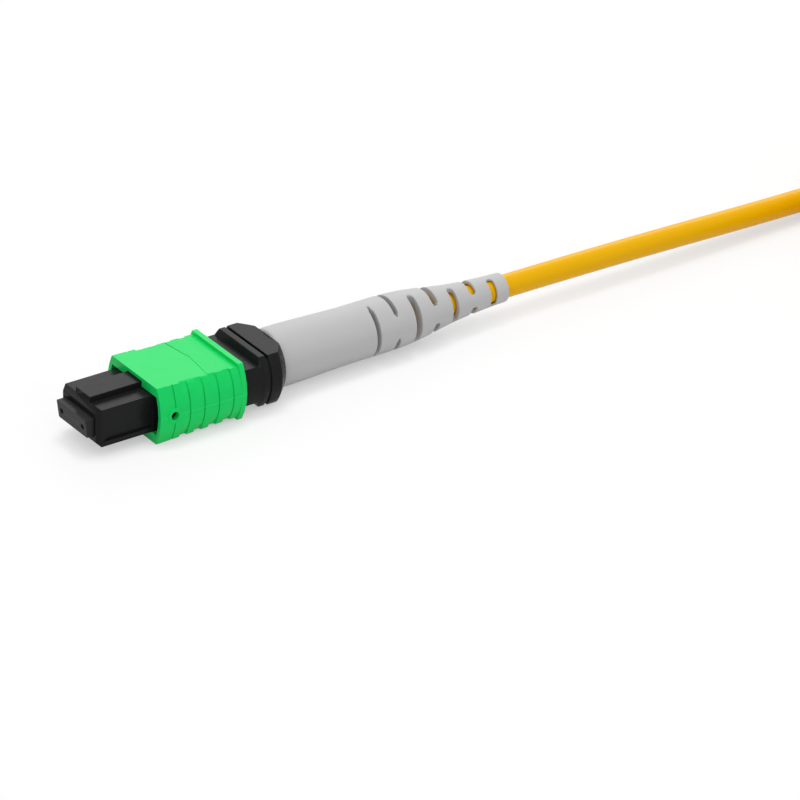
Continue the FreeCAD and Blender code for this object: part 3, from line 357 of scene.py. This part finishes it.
# Each spring's solid, the joint that shortens it, its turns and its wire.
SPRINGS = (("ferrule_spring", "ferrule_push", 4.5, 0.35 * MM),
           ("side_spring_left", "sleeve_pull", 6.0, 0.2 * MM),
           ("side_spring_right", "sleeve_pull", 6.0, 0.2 * MM))
for end, sign in ENDS.items():
    for node, joint, turns, wire in SPRINGS:
        low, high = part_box(node + end)
        across, along, tall = high - low
        place = laid_back(end_middle(node + end, sign < 0), sign)
        coil = grown(node + "_wound" + end, spring_tree, place, {
            "Turns": turns, "Length": along, "Wire": wire,
            "Outer radius": min(across, tall) / 2, "Straight": max(across - tall, 0) / 2})
        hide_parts(node + end)
        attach(coil, "lead")
        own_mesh(coil)

# ------------------------------------------------------------------------------------------
# The plug body: one black moulding that guides the ferrule. It has a bevelled nose, a raised
# key rail along its top and a recess in each side where the socket's latches snap in.

black_plastic = moulded("black plug plastic", (0.0155, 0.0155, 0.0165), shade=0.8,
                        roughness=0.27, grain=0.06 * MM, depth=0.0012 * MM, shine=0.07)
KEY_RISE = 0.8 * MM
for end in ENDS:
    foot_of_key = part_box("inner_housing" + end)[1].z - KEY_RISE
    softened("inner_housing" + end, black_plastic, rounding=0.06 * MM,
             within=lambda spot: spot.z > foot_of_key)

# ------------------------------------------------------------------------------------------
# The rear body: the same black plastic, clipped into the plug. It backs the springs and ends
# in a round flange with flats, and in the stub that the cable's yarn is crimped onto.

# Only the part behind the sleeve is rounded, and not low down under the connector's middle.
LOW_MIDDLE = 3.0 * MM
for end, sign in ENDS.items():
    sleeve_back = sign * end_middle("outer_housing" + end, sign > 0).y
    softened("spring_push" + end, black_plastic, rounding=0.07 * MM,
             within=lambda spot: sign * spot.y > sleeve_back and spot.xz.length > LOW_MIDDLE)

# ------------------------------------------------------------------------------------------
# The crimp: yellow strength yarn combed over the stub and a stepped brass ring pressed over
# it. The strain relief hides both.


def combed_yarn(material):
    """Strands laid side by side round a tube along Z, each leaning a little."""
    tree, size = new_tree("combed yarn", {
        "Strands": 90, "Radius": 2.375 * MM, "Strand": 0.14 * MM, "Length": 5.0 * MM,
        "Lean": 0.06})
    ring = add(tree, "GeometryNodeCurvePrimitiveCircle",
               {"Resolution": size["Strands"], "Radius": size["Radius"]})
    feet = add(tree, "GeometryNodeCurveToPoints", {"Curve": ring.outputs[0],
                                                   "Count": size["Strands"]})
    top = add(tree, "ShaderNodeCombineXYZ", {"Z": size["Length"]})
    line = add(tree, "GeometryNodeCurvePrimitiveLine", {"End": top.outputs[0]})
    section = add(tree, "GeometryNodeCurvePrimitiveCircle", {
        "Resolution": 6, "Radius": calculate(tree, "MULTIPLY", size["Strand"], 0.5)})
    strand = add(tree, "GeometryNodeCurveToMesh", {
        "Curve": line.outputs[0], "Profile Curve": section.outputs[0], "Fill Caps": True})
    lean = add(tree, "FunctionNodeRandomValue", {
        "Min": calculate(tree, "MULTIPLY", size["Lean"], -1.0), "Max": size["Lean"], "Seed": 4})
    tilt = add(tree, "ShaderNodeCombineXYZ", {"Z": lean.outputs[1]})
    laid = add(tree, "GeometryNodeInstanceOnPoints", {
        "Points": feet.outputs[0], "Instance": strand.outputs[0], "Rotation": tilt.outputs[0]})
    finish_tree(tree, laid.outputs[0], material)
    return tree


yarn = moulded("strength yarn", (0.72, 0.56, 0.1), shade=0.6, roughness=0.7,
               grain=0.12 * MM, depth=0.03 * MM)
crimp_brass = metal("crimp brass", (0.75, 0.6, 0.35), roughness=0.3, grain=0.2 * MM,
                    depth=0.003 * MM)
yarn_tree = combed_yarn(yarn)
STRAND = 0.14 * MM
for end, sign in ENDS.items():
    low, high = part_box("aramid_yarn" + end)
    place = laid_back(end_middle("aramid_yarn" + end, sign < 0), sign)
    strands = grown("combed_yarn" + end, yarn_tree, place, {
        "Length": high.y - low.y, "Radius": (high.x - low.x - STRAND) / 2, "Strand": STRAND})
    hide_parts("aramid_yarn" + end)
    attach(strands, "lead")
    dressed("crimp_ring" + end, crimp_brass)

# ------------------------------------------------------------------------------------------
# The sliding sleeve: a green moulding with bulging ribbed sides for finger and thumb, a ridge
# across its back edge and a bare field on top. Its two mould halves met along its sides.


def parting_flash(material):
    """The hair line that the mould's halves leave: a ridge along Y that follows the surface."""
    tree, size = new_tree("parting line", {
        "From": 0.0, "To": 10.0 * MM, "Level": 3.85 * MM, "Outside": 8.0 * MM, "Points": 120,
        "Ridge": 0.045 * MM, "Wander": 0.16 * MM})
    tree.interface.new_socket("Moulding", in_out="INPUT", socket_type="NodeSocketObject")
    moulding = tree.nodes.new("NodeGroupInput").outputs["Moulding"]
    ends = [add(tree, "ShaderNodeCombineXYZ", {
        "X": size["Outside"], "Y": size[label], "Z": size["Level"]}).outputs[0]
        for label in ("From", "To")]
    line = add(tree, "GeometryNodeCurvePrimitiveLine", {"Start": ends[0], "End": ends[1]})
    points = add(tree, "GeometryNodeResampleCurve",
                 {"Curve": line.outputs[0], "Count": size["Points"]})
    wander = noise(tree, tree.nodes.new("GeometryNodeInputPosition").outputs[0], 2.5 * MM, 1.0)
    lift = add(tree, "ShaderNodeCombineXYZ", {"Z": calculate(
        tree, "MULTIPLY", calculate(tree, "SUBTRACT", wander, 0.5), size["Wander"])})
    wavy = add(tree, "GeometryNodeSetPosition",
               {"Geometry": points.outputs[0], "Offset": lift.outputs[0]})
    surface = add(tree, "GeometryNodeObjectInfo", {"Object": moulding},
                  transform_space="ORIGINAL")
    inwards = add(tree, "ShaderNodeCombineXYZ", {"X": calculate(
        tree, "MULTIPLY", size["Outside"], -1.0)})
    hit = add(tree, "GeometryNodeRaycast", {
        "Target Geometry": surface.outputs["Geometry"], "Ray Direction": inwards.outputs[0],
        "Ray Length": 4 * MM})
    pressed = add(tree, "GeometryNodeSetPosition", {
        "Geometry": wavy.outputs[0], "Position": hit.outputs["Hit Position"],
        "Selection": hit.outputs["Is Hit"]})
    section = add(tree, "GeometryNodeCurvePrimitiveCircle",
                  {"Resolution": 6, "Radius": size["Ridge"]})
    ridge = add(tree, "GeometryNodeCurveToMesh", {
        "Curve": pressed.outputs[0], "Profile Curve": section.outputs[0], "Fill Caps": True})
    finish_tree(tree, ridge.outputs[0], material)
    return tree


def sleeve_plastic(end, sign):
    """Green plastic, smooth but for a stippled patch on top, behind the bare field."""
    patch_from, patch_to, patch_below_top = 8.1 * MM, 11.5 * MM, 0.5 * MM
    stipple_grain, stipple_height = 0.2 * MM, 25.0
    made = moulded("green sleeve plastic" + end, (0.01, 0.76, 0.155), shade=0.95,
                   roughness=0.32, grain=0.05 * MM, depth=0.003 * MM, shine=0.1)
    tree = made.node_tree
    bump = tree.nodes["Bump"]
    smooth = bump.inputs["Height"].links[0].from_socket
    front = end_middle("outer_housing" + end, sign < 0).y
    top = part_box("outer_housing" + end)[1].z
    place = tree.nodes["Texture Coordinate"].outputs["Object"]
    spot = add(tree, "ShaderNodeSeparateXYZ", {0: place}).outputs
    behind = calculate(tree, "MULTIPLY", calculate(tree, "SUBTRACT", spot["Y"], front), sign)
    along = calculate(tree, "MULTIPLY", calculate(tree, "GREATER_THAN", behind, patch_from),
                      calculate(tree, "LESS_THAN", behind, patch_to))
    patch = calculate(tree, "MULTIPLY", along, calculate(
        tree, "GREATER_THAN", spot["Z"], top - patch_below_top))
    stipple = calculate(tree, "MULTIPLY", noise(tree, place, stipple_grain, 1.0),
                        calculate(tree, "MULTIPLY", patch, stipple_height))
    tree.links.new(calculate(tree, "ADD", smooth, stipple), bump.inputs["Height"])
    return made


# The flash is the sleeve's own plastic, given a lighter green here: a painted highlight along the
# ridge.
flash_painted_lighter = moulded("green mould flash painted highlight", (0.03, 0.86, 0.24), shade=0.9, roughness=0.3,
                        grain=0.05 * MM, depth=0.001 * MM)
# The line stops short of the sleeve's two ends and of the rim round the side port.
PORT_FROM_FRONT, PORT_CLEARANCE, END_CLEARANCE = 2.0 * MM, 1.0 * MM, 0.1 * MM
BEYOND_SIDE = 8.0 * MM
for end, sign in ENDS.items():
    sleeve = softened("outer_housing" + end, sleeve_plastic(end, sign),
                      rounding=0.07 * MM)
    low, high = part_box("outer_housing" + end)
    bpy.context.view_layer.update()
    flash_tree = parting_flash(flash_painted_lighter)
    front, back = (low.y, high.y) if sign > 0 else (high.y, low.y)
    port = front + sign * PORT_FROM_FRONT
    stretches = {"front": (front + sign * END_CLEARANCE, port - sign * PORT_CLEARANCE),
                 "rear": (port + sign * PORT_CLEARANCE, back - sign * END_CLEARANCE)}
    for part, (begins, stops) in stretches.items():
        for side, name in ((1, "right"), (-1, "left")):
            flash = grown(f"parting_line_{part}_{name}{end}", flash_tree, Matrix.Identity(4), {
                "From": begins, "To": stops, "Level": (low.z + high.z) / 2,
                "Outside": (low.x + high.x) / 2 + BEYOND_SIDE * side, "Moulding": sleeve})
            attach(flash, "sleeve" + end)

# ------------------------------------------------------------------------------------------
# The strain relief: a soft grey tube pushed over the crimp. Seven rows of paired slots, each
# row turned a quarter from the last, are cut through it so that the real one can bend with the
# cable; here it is drawn straight.

grey_rubber = moulded("grey boot rubber", (0.57, 0.57, 0.575), shade=0.97, roughness=0.5,
                      grain=0.08 * MM, depth=0.004 * MM)


def slotted_boot():
    """The strain relief: a sheet of cells rolled into a tube, with cells left out at the slots."""
    length, widest = 35.7, 4.0
    tree, size = new_tree("slotted strain relief", {
        "Length": length * MM, "Bore": 1.62 * MM, "Rim": 0.16 * MM, "Slot start": 14.35 * MM,
        "Slot pitch": 3.07 * MM, "First width": 0.47 * MM, "Full width": 0.95 * MM,
        "Last row": 6.0, "Slot half arc": 66.0, "Slot end": 16.0, "Roll": 13.0,
        "Cells around": 60, "Plain cells": 9, "Cells per pitch": 20, "Slotted cells": 139})

    def of(operation, *values):
        return calculate(tree, operation, *values)

    cell = of("DIVIDE", size["Slot pitch"], size["Cells per pitch"])
    along = of("ADD", size["Plain cells"], size["Slotted cells"])
    sheet = add(tree, "GeometryNodeMeshGrid", {
        "Size X": 1.0, "Size Y": 1.0, "Vertices X": of("ADD", size["Cells around"], 1),
        "Vertices Y": of("ADD", along, 1)})
    flat = add(tree, "ShaderNodeSeparateXYZ",
               {0: tree.nodes.new("GeometryNodeInputPosition").outputs[0]})
    # How far along the boot a cell lies: long cells up to the first slot, then short ones.
    plain_end = of("SUBTRACT", size["Slot start"], of("MULTIPLY", cell, 4))
    count = of("MULTIPLY", of("ADD", flat.outputs["Y"], 0.5), along)
    plain = of("MULTIPLY", of("DIVIDE", of("MINIMUM", count, size["Plain cells"]),
                              size["Plain cells"]), plain_end)
    fine = of("MULTIPLY", of("MAXIMUM", of("SUBTRACT", count, size["Plain cells"]), 0), cell)
    station = of("ADD", plain, fine)
    turn = of("MULTIPLY", of("ADD", flat.outputs["X"], 0.5), 360.0)
    # Which row of slots is nearest, and whether the cell lies in one of its two round-ended slots.
    row = of("MINIMUM", of("MAXIMUM", of("ROUND", of("DIVIDE", of(
        "SUBTRACT", station, size["Slot start"]), size["Slot pitch"])), 0), size["Last row"])
    middle = of("ADD", size["Slot start"], of("MULTIPLY", row, size["Slot pitch"]))
    widening = of("MULTIPLY", of("MINIMUM", of("MULTIPLY", row, 0.5), 1.0),
                  of("SUBTRACT", size["Full width"], size["First width"]))
    half_width = of("MULTIPLY", of("ADD", size["First width"], widening), 0.5)
    quarter = of("MULTIPLY", of("MODULO", row, 2.0), 90.0)
    swing = of("PINGPONG", of("ADD", turn, quarter), 90.0)
    past = of("MAXIMUM", of("SUBTRACT", swing, of(
        "SUBTRACT", size["Slot half arc"], size["Slot end"])), 0)
    offset = of("DIVIDE", of("ABSOLUTE", of("SUBTRACT", station, middle)), half_width)
    reach = of("DIVIDE", past, size["Slot end"])
    rounded = of("ADD", of("MULTIPLY", offset, offset), of("MULTIPLY", reach, reach))
    cut_out = add(tree, "GeometryNodeDeleteGeometry", {
        "Geometry": sheet.outputs["Mesh"], "Selection": of("LESS_THAN", rounded, 1.0)},
        domain="FACE")
    # Roll the sheet round the bore and close its seam.
    angle = of("RADIANS", of("SUBTRACT", turn, size["Roll"]))
    rolled = add(tree, "ShaderNodeCombineXYZ", {
        "X": of("MULTIPLY", of("COSINE", angle), size["Bore"]), "Y": station,
        "Z": of("MULTIPLY", of("SINE", angle), of("MULTIPLY", size["Bore"], -1.0))})
    tube = add(tree, "GeometryNodeSetPosition", {
        "Geometry": cut_out.outputs[0], "Position": rolled.outputs[0]})
    closed = add(tree, "GeometryNodeMergeByDistance",
                 {"Geometry": tube.outputs[0], "Distance": WELD})
    # Thicken it outwards to the boot's profile, in two steps that keep the slots' rims crisp.
    # The profile gives the radius at each station from the front, in millimetres.
    here = tree.nodes.new("GeometryNodeInputPosition").outputs[0]
    now = add(tree, "ShaderNodeSeparateXYZ", {0: here})
    profile = add(tree, "ShaderNodeFloatCurve", {
        "Value": of("DIVIDE", now.outputs["Y"], size["Length"])})
    curve = profile.mapping.curves[0]
    stations = ((0.0, 3.85), (3.0, 3.84), (7.0, 3.7), (11.5, 3.56), (14.9, 3.56), (17.6, 3.53),
                (20.3, 3.38), (21.7, 3.21), (23.2, 3.0), (24.9, 2.72), (26.8, 2.45), (28.9, 2.23),
                (31.2, 2.07), (33.4, 1.94), (35.1, 1.88), (35.7, 1.72))
    for spot, radius in stations[1:-1]:
        curve.points.new(spot / length, radius / widest)
    curve.points[0].location = (0.0, stations[0][1] / widest)
    curve.points[-1].location = (1.0, stations[-1][1] / widest)
    profile.mapping.update()
    outer = of("MULTIPLY", profile.outputs[0], widest * MM)
    level = of("SQRT", of("ADD", of("MULTIPLY", now.outputs["X"], now.outputs["X"]),
                          of("MULTIPLY", now.outputs["Z"], now.outputs["Z"])))
    wall, wall_top = closed.outputs[0], None
    for radius in (of("SUBTRACT", outer, size["Rim"]), outer):
        pushed = add(tree, "GeometryNodeExtrudeMesh", {
            "Mesh": wall, "Offset Scale": 0.0, "Individual": False}, mode="FACES")
        if wall_top is not None:
            tree.links.new(wall_top, pushed.inputs["Selection"])
        scale = of("DIVIDE", radius, level)
        spot = add(tree, "ShaderNodeCombineXYZ", {
            "X": of("MULTIPLY", now.outputs["X"], scale), "Y": now.outputs["Y"],
            "Z": of("MULTIPLY", now.outputs["Z"], scale)})
        moved = add(tree, "GeometryNodeSetPosition", {
            "Geometry": pushed.outputs["Mesh"], "Selection": pushed.outputs["Top"],
            "Position": spot.outputs[0]})
        wall, wall_top = moved.outputs[0], pushed.outputs["Top"]
    lining = add(tree, "GeometryNodeFlipFaces", {"Mesh": closed.outputs[0]})
    both = tree.nodes.new("GeometryNodeJoinGeometry")
    tree.links.new(wall, both.inputs[0])
    tree.links.new(lining.outputs[0], both.inputs[0])
    whole = add(tree, "GeometryNodeMergeByDistance",
                {"Geometry": both.outputs[0], "Distance": WELD})
    smooth = add(tree, "GeometryNodeSetShadeSmooth", {"Geometry": whole.outputs[0]})
    finish_tree(tree, smooth.outputs[0], grey_rubber)
    return tree


boot_tree = slotted_boot()
for end, sign in ENDS.items():
    place = (Matrix.Translation(end_middle("boot" + end, sign < 0))
             @ Matrix.Rotation(0 if sign > 0 else math.pi, 4, "Z"))
    boot = grown("boot_slotted" + end, boot_tree, place)
    rounded = boot.modifiers.new("soft rims", "SUBSURF")
    rounded.levels = rounded.render_levels = 1
    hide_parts("boot" + end)
    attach(boot, "lead")

# ------------------------------------------------------------------------------------------
# The lead: a round yellow jacket, 3 mm across, from one connector to the other. What isn't
# needed lies wound in a coil, held by a hook-and-loop tie.

jacket = moulded("yellow jacket", (0.92, 0.49, 0.0), shade=0.98, roughness=0.26,
                 grain=0.12 * MM, depth=0.001 * MM, shine=0.11)
CABLE = 3.0 * MM


def coil_points(centre, floor, columns, turns, per_turn):
    """Control points of neat turns laid beside and on top of each other. Each turn crosses to
    the next one's place over a short arc, in degrees, that begins a little earlier each time."""
    inner, outer = columns
    places = [(outer, 0), (inner, 0), (inner, 1), (inner, 2), (inner, 3), (outer, 3),
              (outer, 2), (outer, 1)]
    first_crossing, earlier_by, crossing = 300, 52, 50
    # The line runs inside its control points, so they lie further out by this factor.
    pull = 1 / (0.75 + 0.25 * math.cos(2 * math.pi / per_turn))
    points = []
    for step in range(1, turns * per_turn):
        angle = 360.0 * step / per_turn
        settled = 0
        share = 0.0
        for change in range(len(places) - 1):
            begins = 360 * change + first_crossing - earlier_by * change
            if angle >= begins + crossing:
                settled = change + 1
            elif angle > begins:
                share = (angle - begins) / crossing
        share = share * share * (3 - 2 * share)
        radius, layer = places[settled]
        if share:
            next_radius, next_layer = places[settled + 1]
            radius += (next_radius - radius) * share
            layer += (next_layer - layer) * share
        turned = math.radians(angle)
        points.append(centre + Vector((-radius * pull * math.cos(turned),
                                       radius * pull * math.sin(turned),
                                       floor + CABLE * (layer + 0.5))))
    return points


boot_end = end_middle("boot", True)
far_exit = end_middle("boot_far", False)
ring_low, ring_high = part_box("cable_coil")
middle = Vector(((ring_low.x + ring_high.x) / 2, (ring_low.y + ring_high.y) / 2, 0))
outer_turn = (ring_high.x - ring_low.x) / 2 - CABLE / 2
inner_turn = outer_turn - CABLE
lowest_layer = ring_low.z + CABLE / 2
inside_boot = Vector((0, 8 * MM, 0))
# It leaves the boot level, sinks to the coil's lowest layer and comes back from the second.
route = [
    boot_end - inside_boot, boot_end,
    Vector((-0.3 * MM, boot_end.y + 20 * MM, boot_end.z - 0.35 * MM)),
    Vector((-1.2 * MM, boot_end.y + 42 * MM, boot_end.z - 1.5 * MM)),
    Vector((far_exit.x, middle.y - 2 * MM, lowest_layer))]
route += coil_points(middle, ring_low.z, (inner_turn, outer_turn), turns=7, per_turn=16)
route += [
    Vector((far_exit.x, middle.y, lowest_layer + CABLE)),
    Vector((far_exit.x, middle.y + 8 * MM, boot_end.z + 0.4 * MM)),
    far_exit, far_exit + inside_boot]

line = bpy.data.curves.new("lead_line", "CURVE")
line.dimensions = "3D"
spline = line.splines.new("NURBS")
spline.points.add(len(route) - 1)
for point, spot in zip(spline.points, route):
    point.co = (*spot, 1)
spline.order_u = 3
spline.use_endpoint_u = True
spline.resolution_u = 6
line.bevel_depth = CABLE / 2
line.bevel_resolution = 8
line.use_fill_caps = True
line.materials.append(jacket)
lead = bpy.data.objects.new("lead_cable", line)
scene.collection.objects.link(lead)
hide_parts("cable_run", "cable_coil", "cable_run_far")
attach(lead, "lead")
for end in ENDS:
    dressed("cable_end" + end, jacket)

# ------------------------------------------------------------------------------------------
# The tie: a strip of black hook-and-loop tape, woven with small loops on its outer face. It
# is closed round the coil's turns, and its free end lies over its start on the outer side.


def strap_line(low, high, corner):
    """Points of one turn round a block, seen along Y: from the top of its outer side over the
    block, down its inner side and under it to the foot of the outer side."""
    steps = 6
    points = []
    for centre_x, centre_z, start in (
            (high.x - corner, high.z - corner, 0), (low.x + corner, high.z - corner, 90),
            (low.x + corner, low.z + corner, 180), (high.x - corner, low.z + corner, 270)):
        for step in range(steps + 1):
            turned = math.radians(start + 90 / steps * step)
            points.append(Vector((centre_x + corner * math.cos(turned), 0,
                                  centre_z + corner * math.sin(turned))))
    return points


def napped_tape(material):
    """Small loops of yarn standing on the tape's outer face. Under the coil they are pressed
    flat and left out."""
    tree, size = new_tree("loops of the tape", {
        "Density": 9e6, "Loop": 0.2 * MM, "Yarn": 0.032 * MM, "Pressed below": 0.8 * MM})
    tree.interface.new_socket("Tape", in_out="INPUT", socket_type="NodeSocketObject")
    tape = add(tree, "GeometryNodeObjectInfo",
               {"Object": tree.nodes.new("NodeGroupInput").outputs["Tape"]})
    height = add(tree, "ShaderNodeSeparateXYZ",
                 {"Vector": tree.nodes.new("GeometryNodeInputPosition").outputs[0]}).outputs["Z"]
    spots = add(tree, "GeometryNodeDistributePointsOnFaces", {
        "Mesh": tape.outputs["Geometry"], "Density": size["Density"], "Seed": 7,
        "Selection": calculate(tree, "GREATER_THAN", height, size["Pressed below"])})
    arc = add(tree, "GeometryNodeCurveArc", {
        "Resolution": 6, "Radius": size["Loop"], "Sweep Angle": math.pi})
    upright = add(tree, "GeometryNodeTransform", {
        "Geometry": arc.outputs[0], "Rotation": (math.radians(90), 0, 0)})
    yarn_section = add(tree, "GeometryNodeCurvePrimitiveCircle",
                       {"Resolution": 3, "Radius": size["Yarn"]})
    loop = add(tree, "GeometryNodeCurveToMesh", {
        "Curve": upright.outputs[0], "Profile Curve": yarn_section.outputs[0],
        "Fill Caps": True})
    spin = add(tree, "FunctionNodeRandomValue", {"Min": -math.pi, "Max": math.pi, "Seed": 3})
    quarter = add(tree, "FunctionNodeAxisAngleToRotation",
                  {"Axis": (0, 0, 1), "Angle": spin.outputs[1]})
    turned = add(tree, "FunctionNodeRotateRotation", {
        "Rotation": spots.outputs["Rotation"], "Rotate By": quarter.outputs[0]},
        rotation_space="LOCAL")
    standing = add(tree, "GeometryNodeInstanceOnPoints", {
        "Points": spots.outputs["Points"], "Instance": loop.outputs[0],
        "Rotation": turned.outputs[0]})
    finish_tree(tree, standing.outputs[0], material)
    return tree


tie_cloth = moulded("hook and loop tape", (0.016, 0.016, 0.018), shade=0.6, roughness=0.85,
                    grain=0.25 * MM, depth=0.02 * MM)
TAPE, CORNER, TAPE_WIDTH, END_WIDTH = 0.36 * MM, 1.7 * MM, 0.97, 0.72
ACROSS = (-1, -0.5, 0, 0.5, 1)
# The outer side from its foot up, as the start of the tape and as what lies over that start:
# how many tapes further out each spot lies, and its height in millimetres.
START = ((0.0, 2.0), (0.0, 5.0), (0.0, 8.0))
FREE_END = ((0.4, 1.75), (1.05, 2.0), (1.05, 5.0), (1.05, 8.0), (1.6, 9.4), (2.4, 10.2))
tie_low, tie_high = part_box("coil_tie")
start, free_end = ([Vector((tie_high.x + TAPE * out, 0, height * MM)) for out, height in side]
                   for side in (START, FREE_END))
path = start + strap_line(tie_low, tie_high, CORNER) + free_end
centre_y = (tie_high.y + tie_low.y) / 2
form = bmesh.new()
rows = []
for spot in path:
    width = END_WIDTH if spot is path[-1] else TAPE_WIDTH
    half_width = (tie_high.y - tie_low.y) / 2 * width
    rows.append([form.verts.new((spot.x, centre_y + half_width * share, spot.z))
                 for share in ACROSS])
for before, after in zip(rows, rows[1:]):
    for place in range(len(ACROSS) - 1):
        face = form.faces.new((before[place], before[place + 1],
                               after[place + 1], after[place]))
        face.smooth = True
form.normal_update()
tape_mesh = bpy.data.meshes.new("tie_tape")
form.to_mesh(tape_mesh)
form.free()
tape_mesh.materials.append(tie_cloth)
tape = bpy.data.objects.new("tie_tape", tape_mesh)
scene.collection.objects.link(tape)
bpy.context.view_layer.update()
nap = grown("tie_loops", napped_tape(tie_cloth), Matrix.Identity(4), {"Tape": tape})
thick = tape.modifiers.new("tape thickness", "SOLIDIFY")
thick.thickness, thick.offset = TAPE, -1
rounded = tape.modifiers.new("woven edge", "BEVEL")
rounded.width, rounded.segments = 0.1 * MM, 2
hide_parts("coil_tie")
for piece in (tape, nap):
    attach(piece, "lead")

# ------------------------------------------------------------------------------------------
# The table top, the lamps and the camera: a white sweep with a painted shadow round the object's
# foot, under a broad lamp overhead, a weaker one behind and a small one in front on the right,
# seen through a long lens.


def seen_directly(tree):
    """One for rays that show the picture, a reflection or what lies behind glass, else zero."""
    ray = add(tree, "ShaderNodeLightPath").outputs
    return calculate(tree, "MAXIMUM", ray["Is Camera Ray"], calculate(
        tree, "MAXIMUM", ray["Is Glossy Ray"], ray["Is Transmission Ray"]))


floor_mesh = bpy.data.meshes.new("floor")
half = 3.0
floor_mesh.from_pydata([(-half, -half, 0), (half, -half, 0), (half, half, 0), (-half, half, 0)],
                       [], [(0, 1, 2, 3)])
floor = bpy.data.objects.new("floor", floor_mesh)
scene.collection.objects.link(floor)
sweep = bpy.data.materials.new("white sweep")
sweep.use_nodes = True
nodes = sweep.node_tree
nodes.nodes.remove(nodes.nodes["Principled BSDF"])
matt = add(nodes, "ShaderNodeBsdfDiffuse", {"Color": (0.72, 0.72, 0.72, 1)})
soft_shade = add(nodes, "ShaderNodeBsdfDiffuse", {"Color": (0.25, 0.25, 0.25, 1)})
# Seen directly, the floor glows white, and an ambient occlusion node dims that glow close to the
# object: a painted shadow, added to the real shade that the diffuse part gets from the lamps.
painted_contact_shadow = add(nodes, "ShaderNodeAmbientOcclusion", {"Distance": 3.5 * MM}, samples=8)
glow_with_painted_shadow = add(nodes, "ShaderNodeMapRange", {
    "Value": painted_contact_shadow.outputs["AO"], "From Max": 0.85, "To Min": 0.42, "To Max": 0.75})
glow = add(nodes, "ShaderNodeEmission",
           {"Color": (1, 1, 1, 1), "Strength": glow_with_painted_shadow.outputs["Result"]})
shown_floor = add(nodes, "ShaderNodeAddShader")
nodes.links.new(soft_shade.outputs[0], shown_floor.inputs[0])
nodes.links.new(glow.outputs[0], shown_floor.inputs[1])
lift = add(nodes, "ShaderNodeMixShader", {"Fac": seen_directly(nodes)})
nodes.links.new(matt.outputs[0], lift.inputs[1])
nodes.links.new(shown_floor.outputs[0], lift.inputs[2])
nodes.links.new(lift.outputs[0], nodes.nodes["Material Output"].inputs["Surface"])
floor_mesh.materials.append(sweep)

world = bpy.data.worlds.new("studio air")
scene.world = world
world.use_nodes = True
air = world.node_tree
background = air.nodes["Background"]
background.inputs["Color"].default_value = (1, 1, 1, 1)
air.links.new(between(air, seen_directly(air), 0.62, 1.0), background.inputs["Strength"])


def softbox(name, spot, target, width, height, power):
    """A broad lamp at a spot, turned to a target."""
    data = bpy.data.lights.new(name, "AREA")
    data.shape = "RECTANGLE"
    data.size, data.size_y, data.energy = width, height, power
    lamp = bpy.data.objects.new(name, data)
    scene.collection.objects.link(lamp)
    lamp.location = spot
    lamp.rotation_euler = (Vector(target) - Vector(spot)).to_track_quat("-Z", "Y").to_euler()


softbox("overhead", (-0.12, 0.11, 0.9), (0, 0.02, 0), 0.3, 0.24, 2.5)
softbox("behind", (-0.57, 0.41, 0.42), (0, 0.02, 0), 0.6, 0.35, 1.25)
softbox("side", (0.8, -0.1, 0.4), (0, 0, 0), 0.12, 0.12, 0.6)

AZIMUTH, ELEVATION, ROLL = (math.radians(turn) for turn in (54.5, 28.93, 1.583))
DISTANCE, AIM_RIGHT, AIM_UP = 0.8, 39.436, 2.294
sight = Vector((-math.sin(AZIMUTH) * math.cos(ELEVATION),
                math.cos(AZIMUTH) * math.cos(ELEVATION), -math.sin(ELEVATION)))
level_right = Vector((math.cos(AZIMUTH), math.sin(AZIMUTH), 0))
level_up = level_right.cross(sight)
right = level_right * math.cos(ROLL) + level_up * math.sin(ROLL)
up = level_up * math.cos(ROLL) - level_right * math.sin(ROLL)
aim = end_middle("ferrule", False) + right * AIM_RIGHT * MM + up * AIM_UP * MM
lens = bpy.data.cameras.new("long lens")
lens.sensor_width = 36.0
lens.lens = 300.59
lens.clip_start, lens.clip_end = 0.05, 20
camera = bpy.data.objects.new("camera", lens)
scene.collection.objects.link(camera)
camera.matrix_world = Matrix.Translation(aim - sight * DISTANCE) @ Matrix(
    (right, up, -sight)).transposed().to_4x4()
scene.camera = camera
scene.view_settings.view_transform = "Standard"
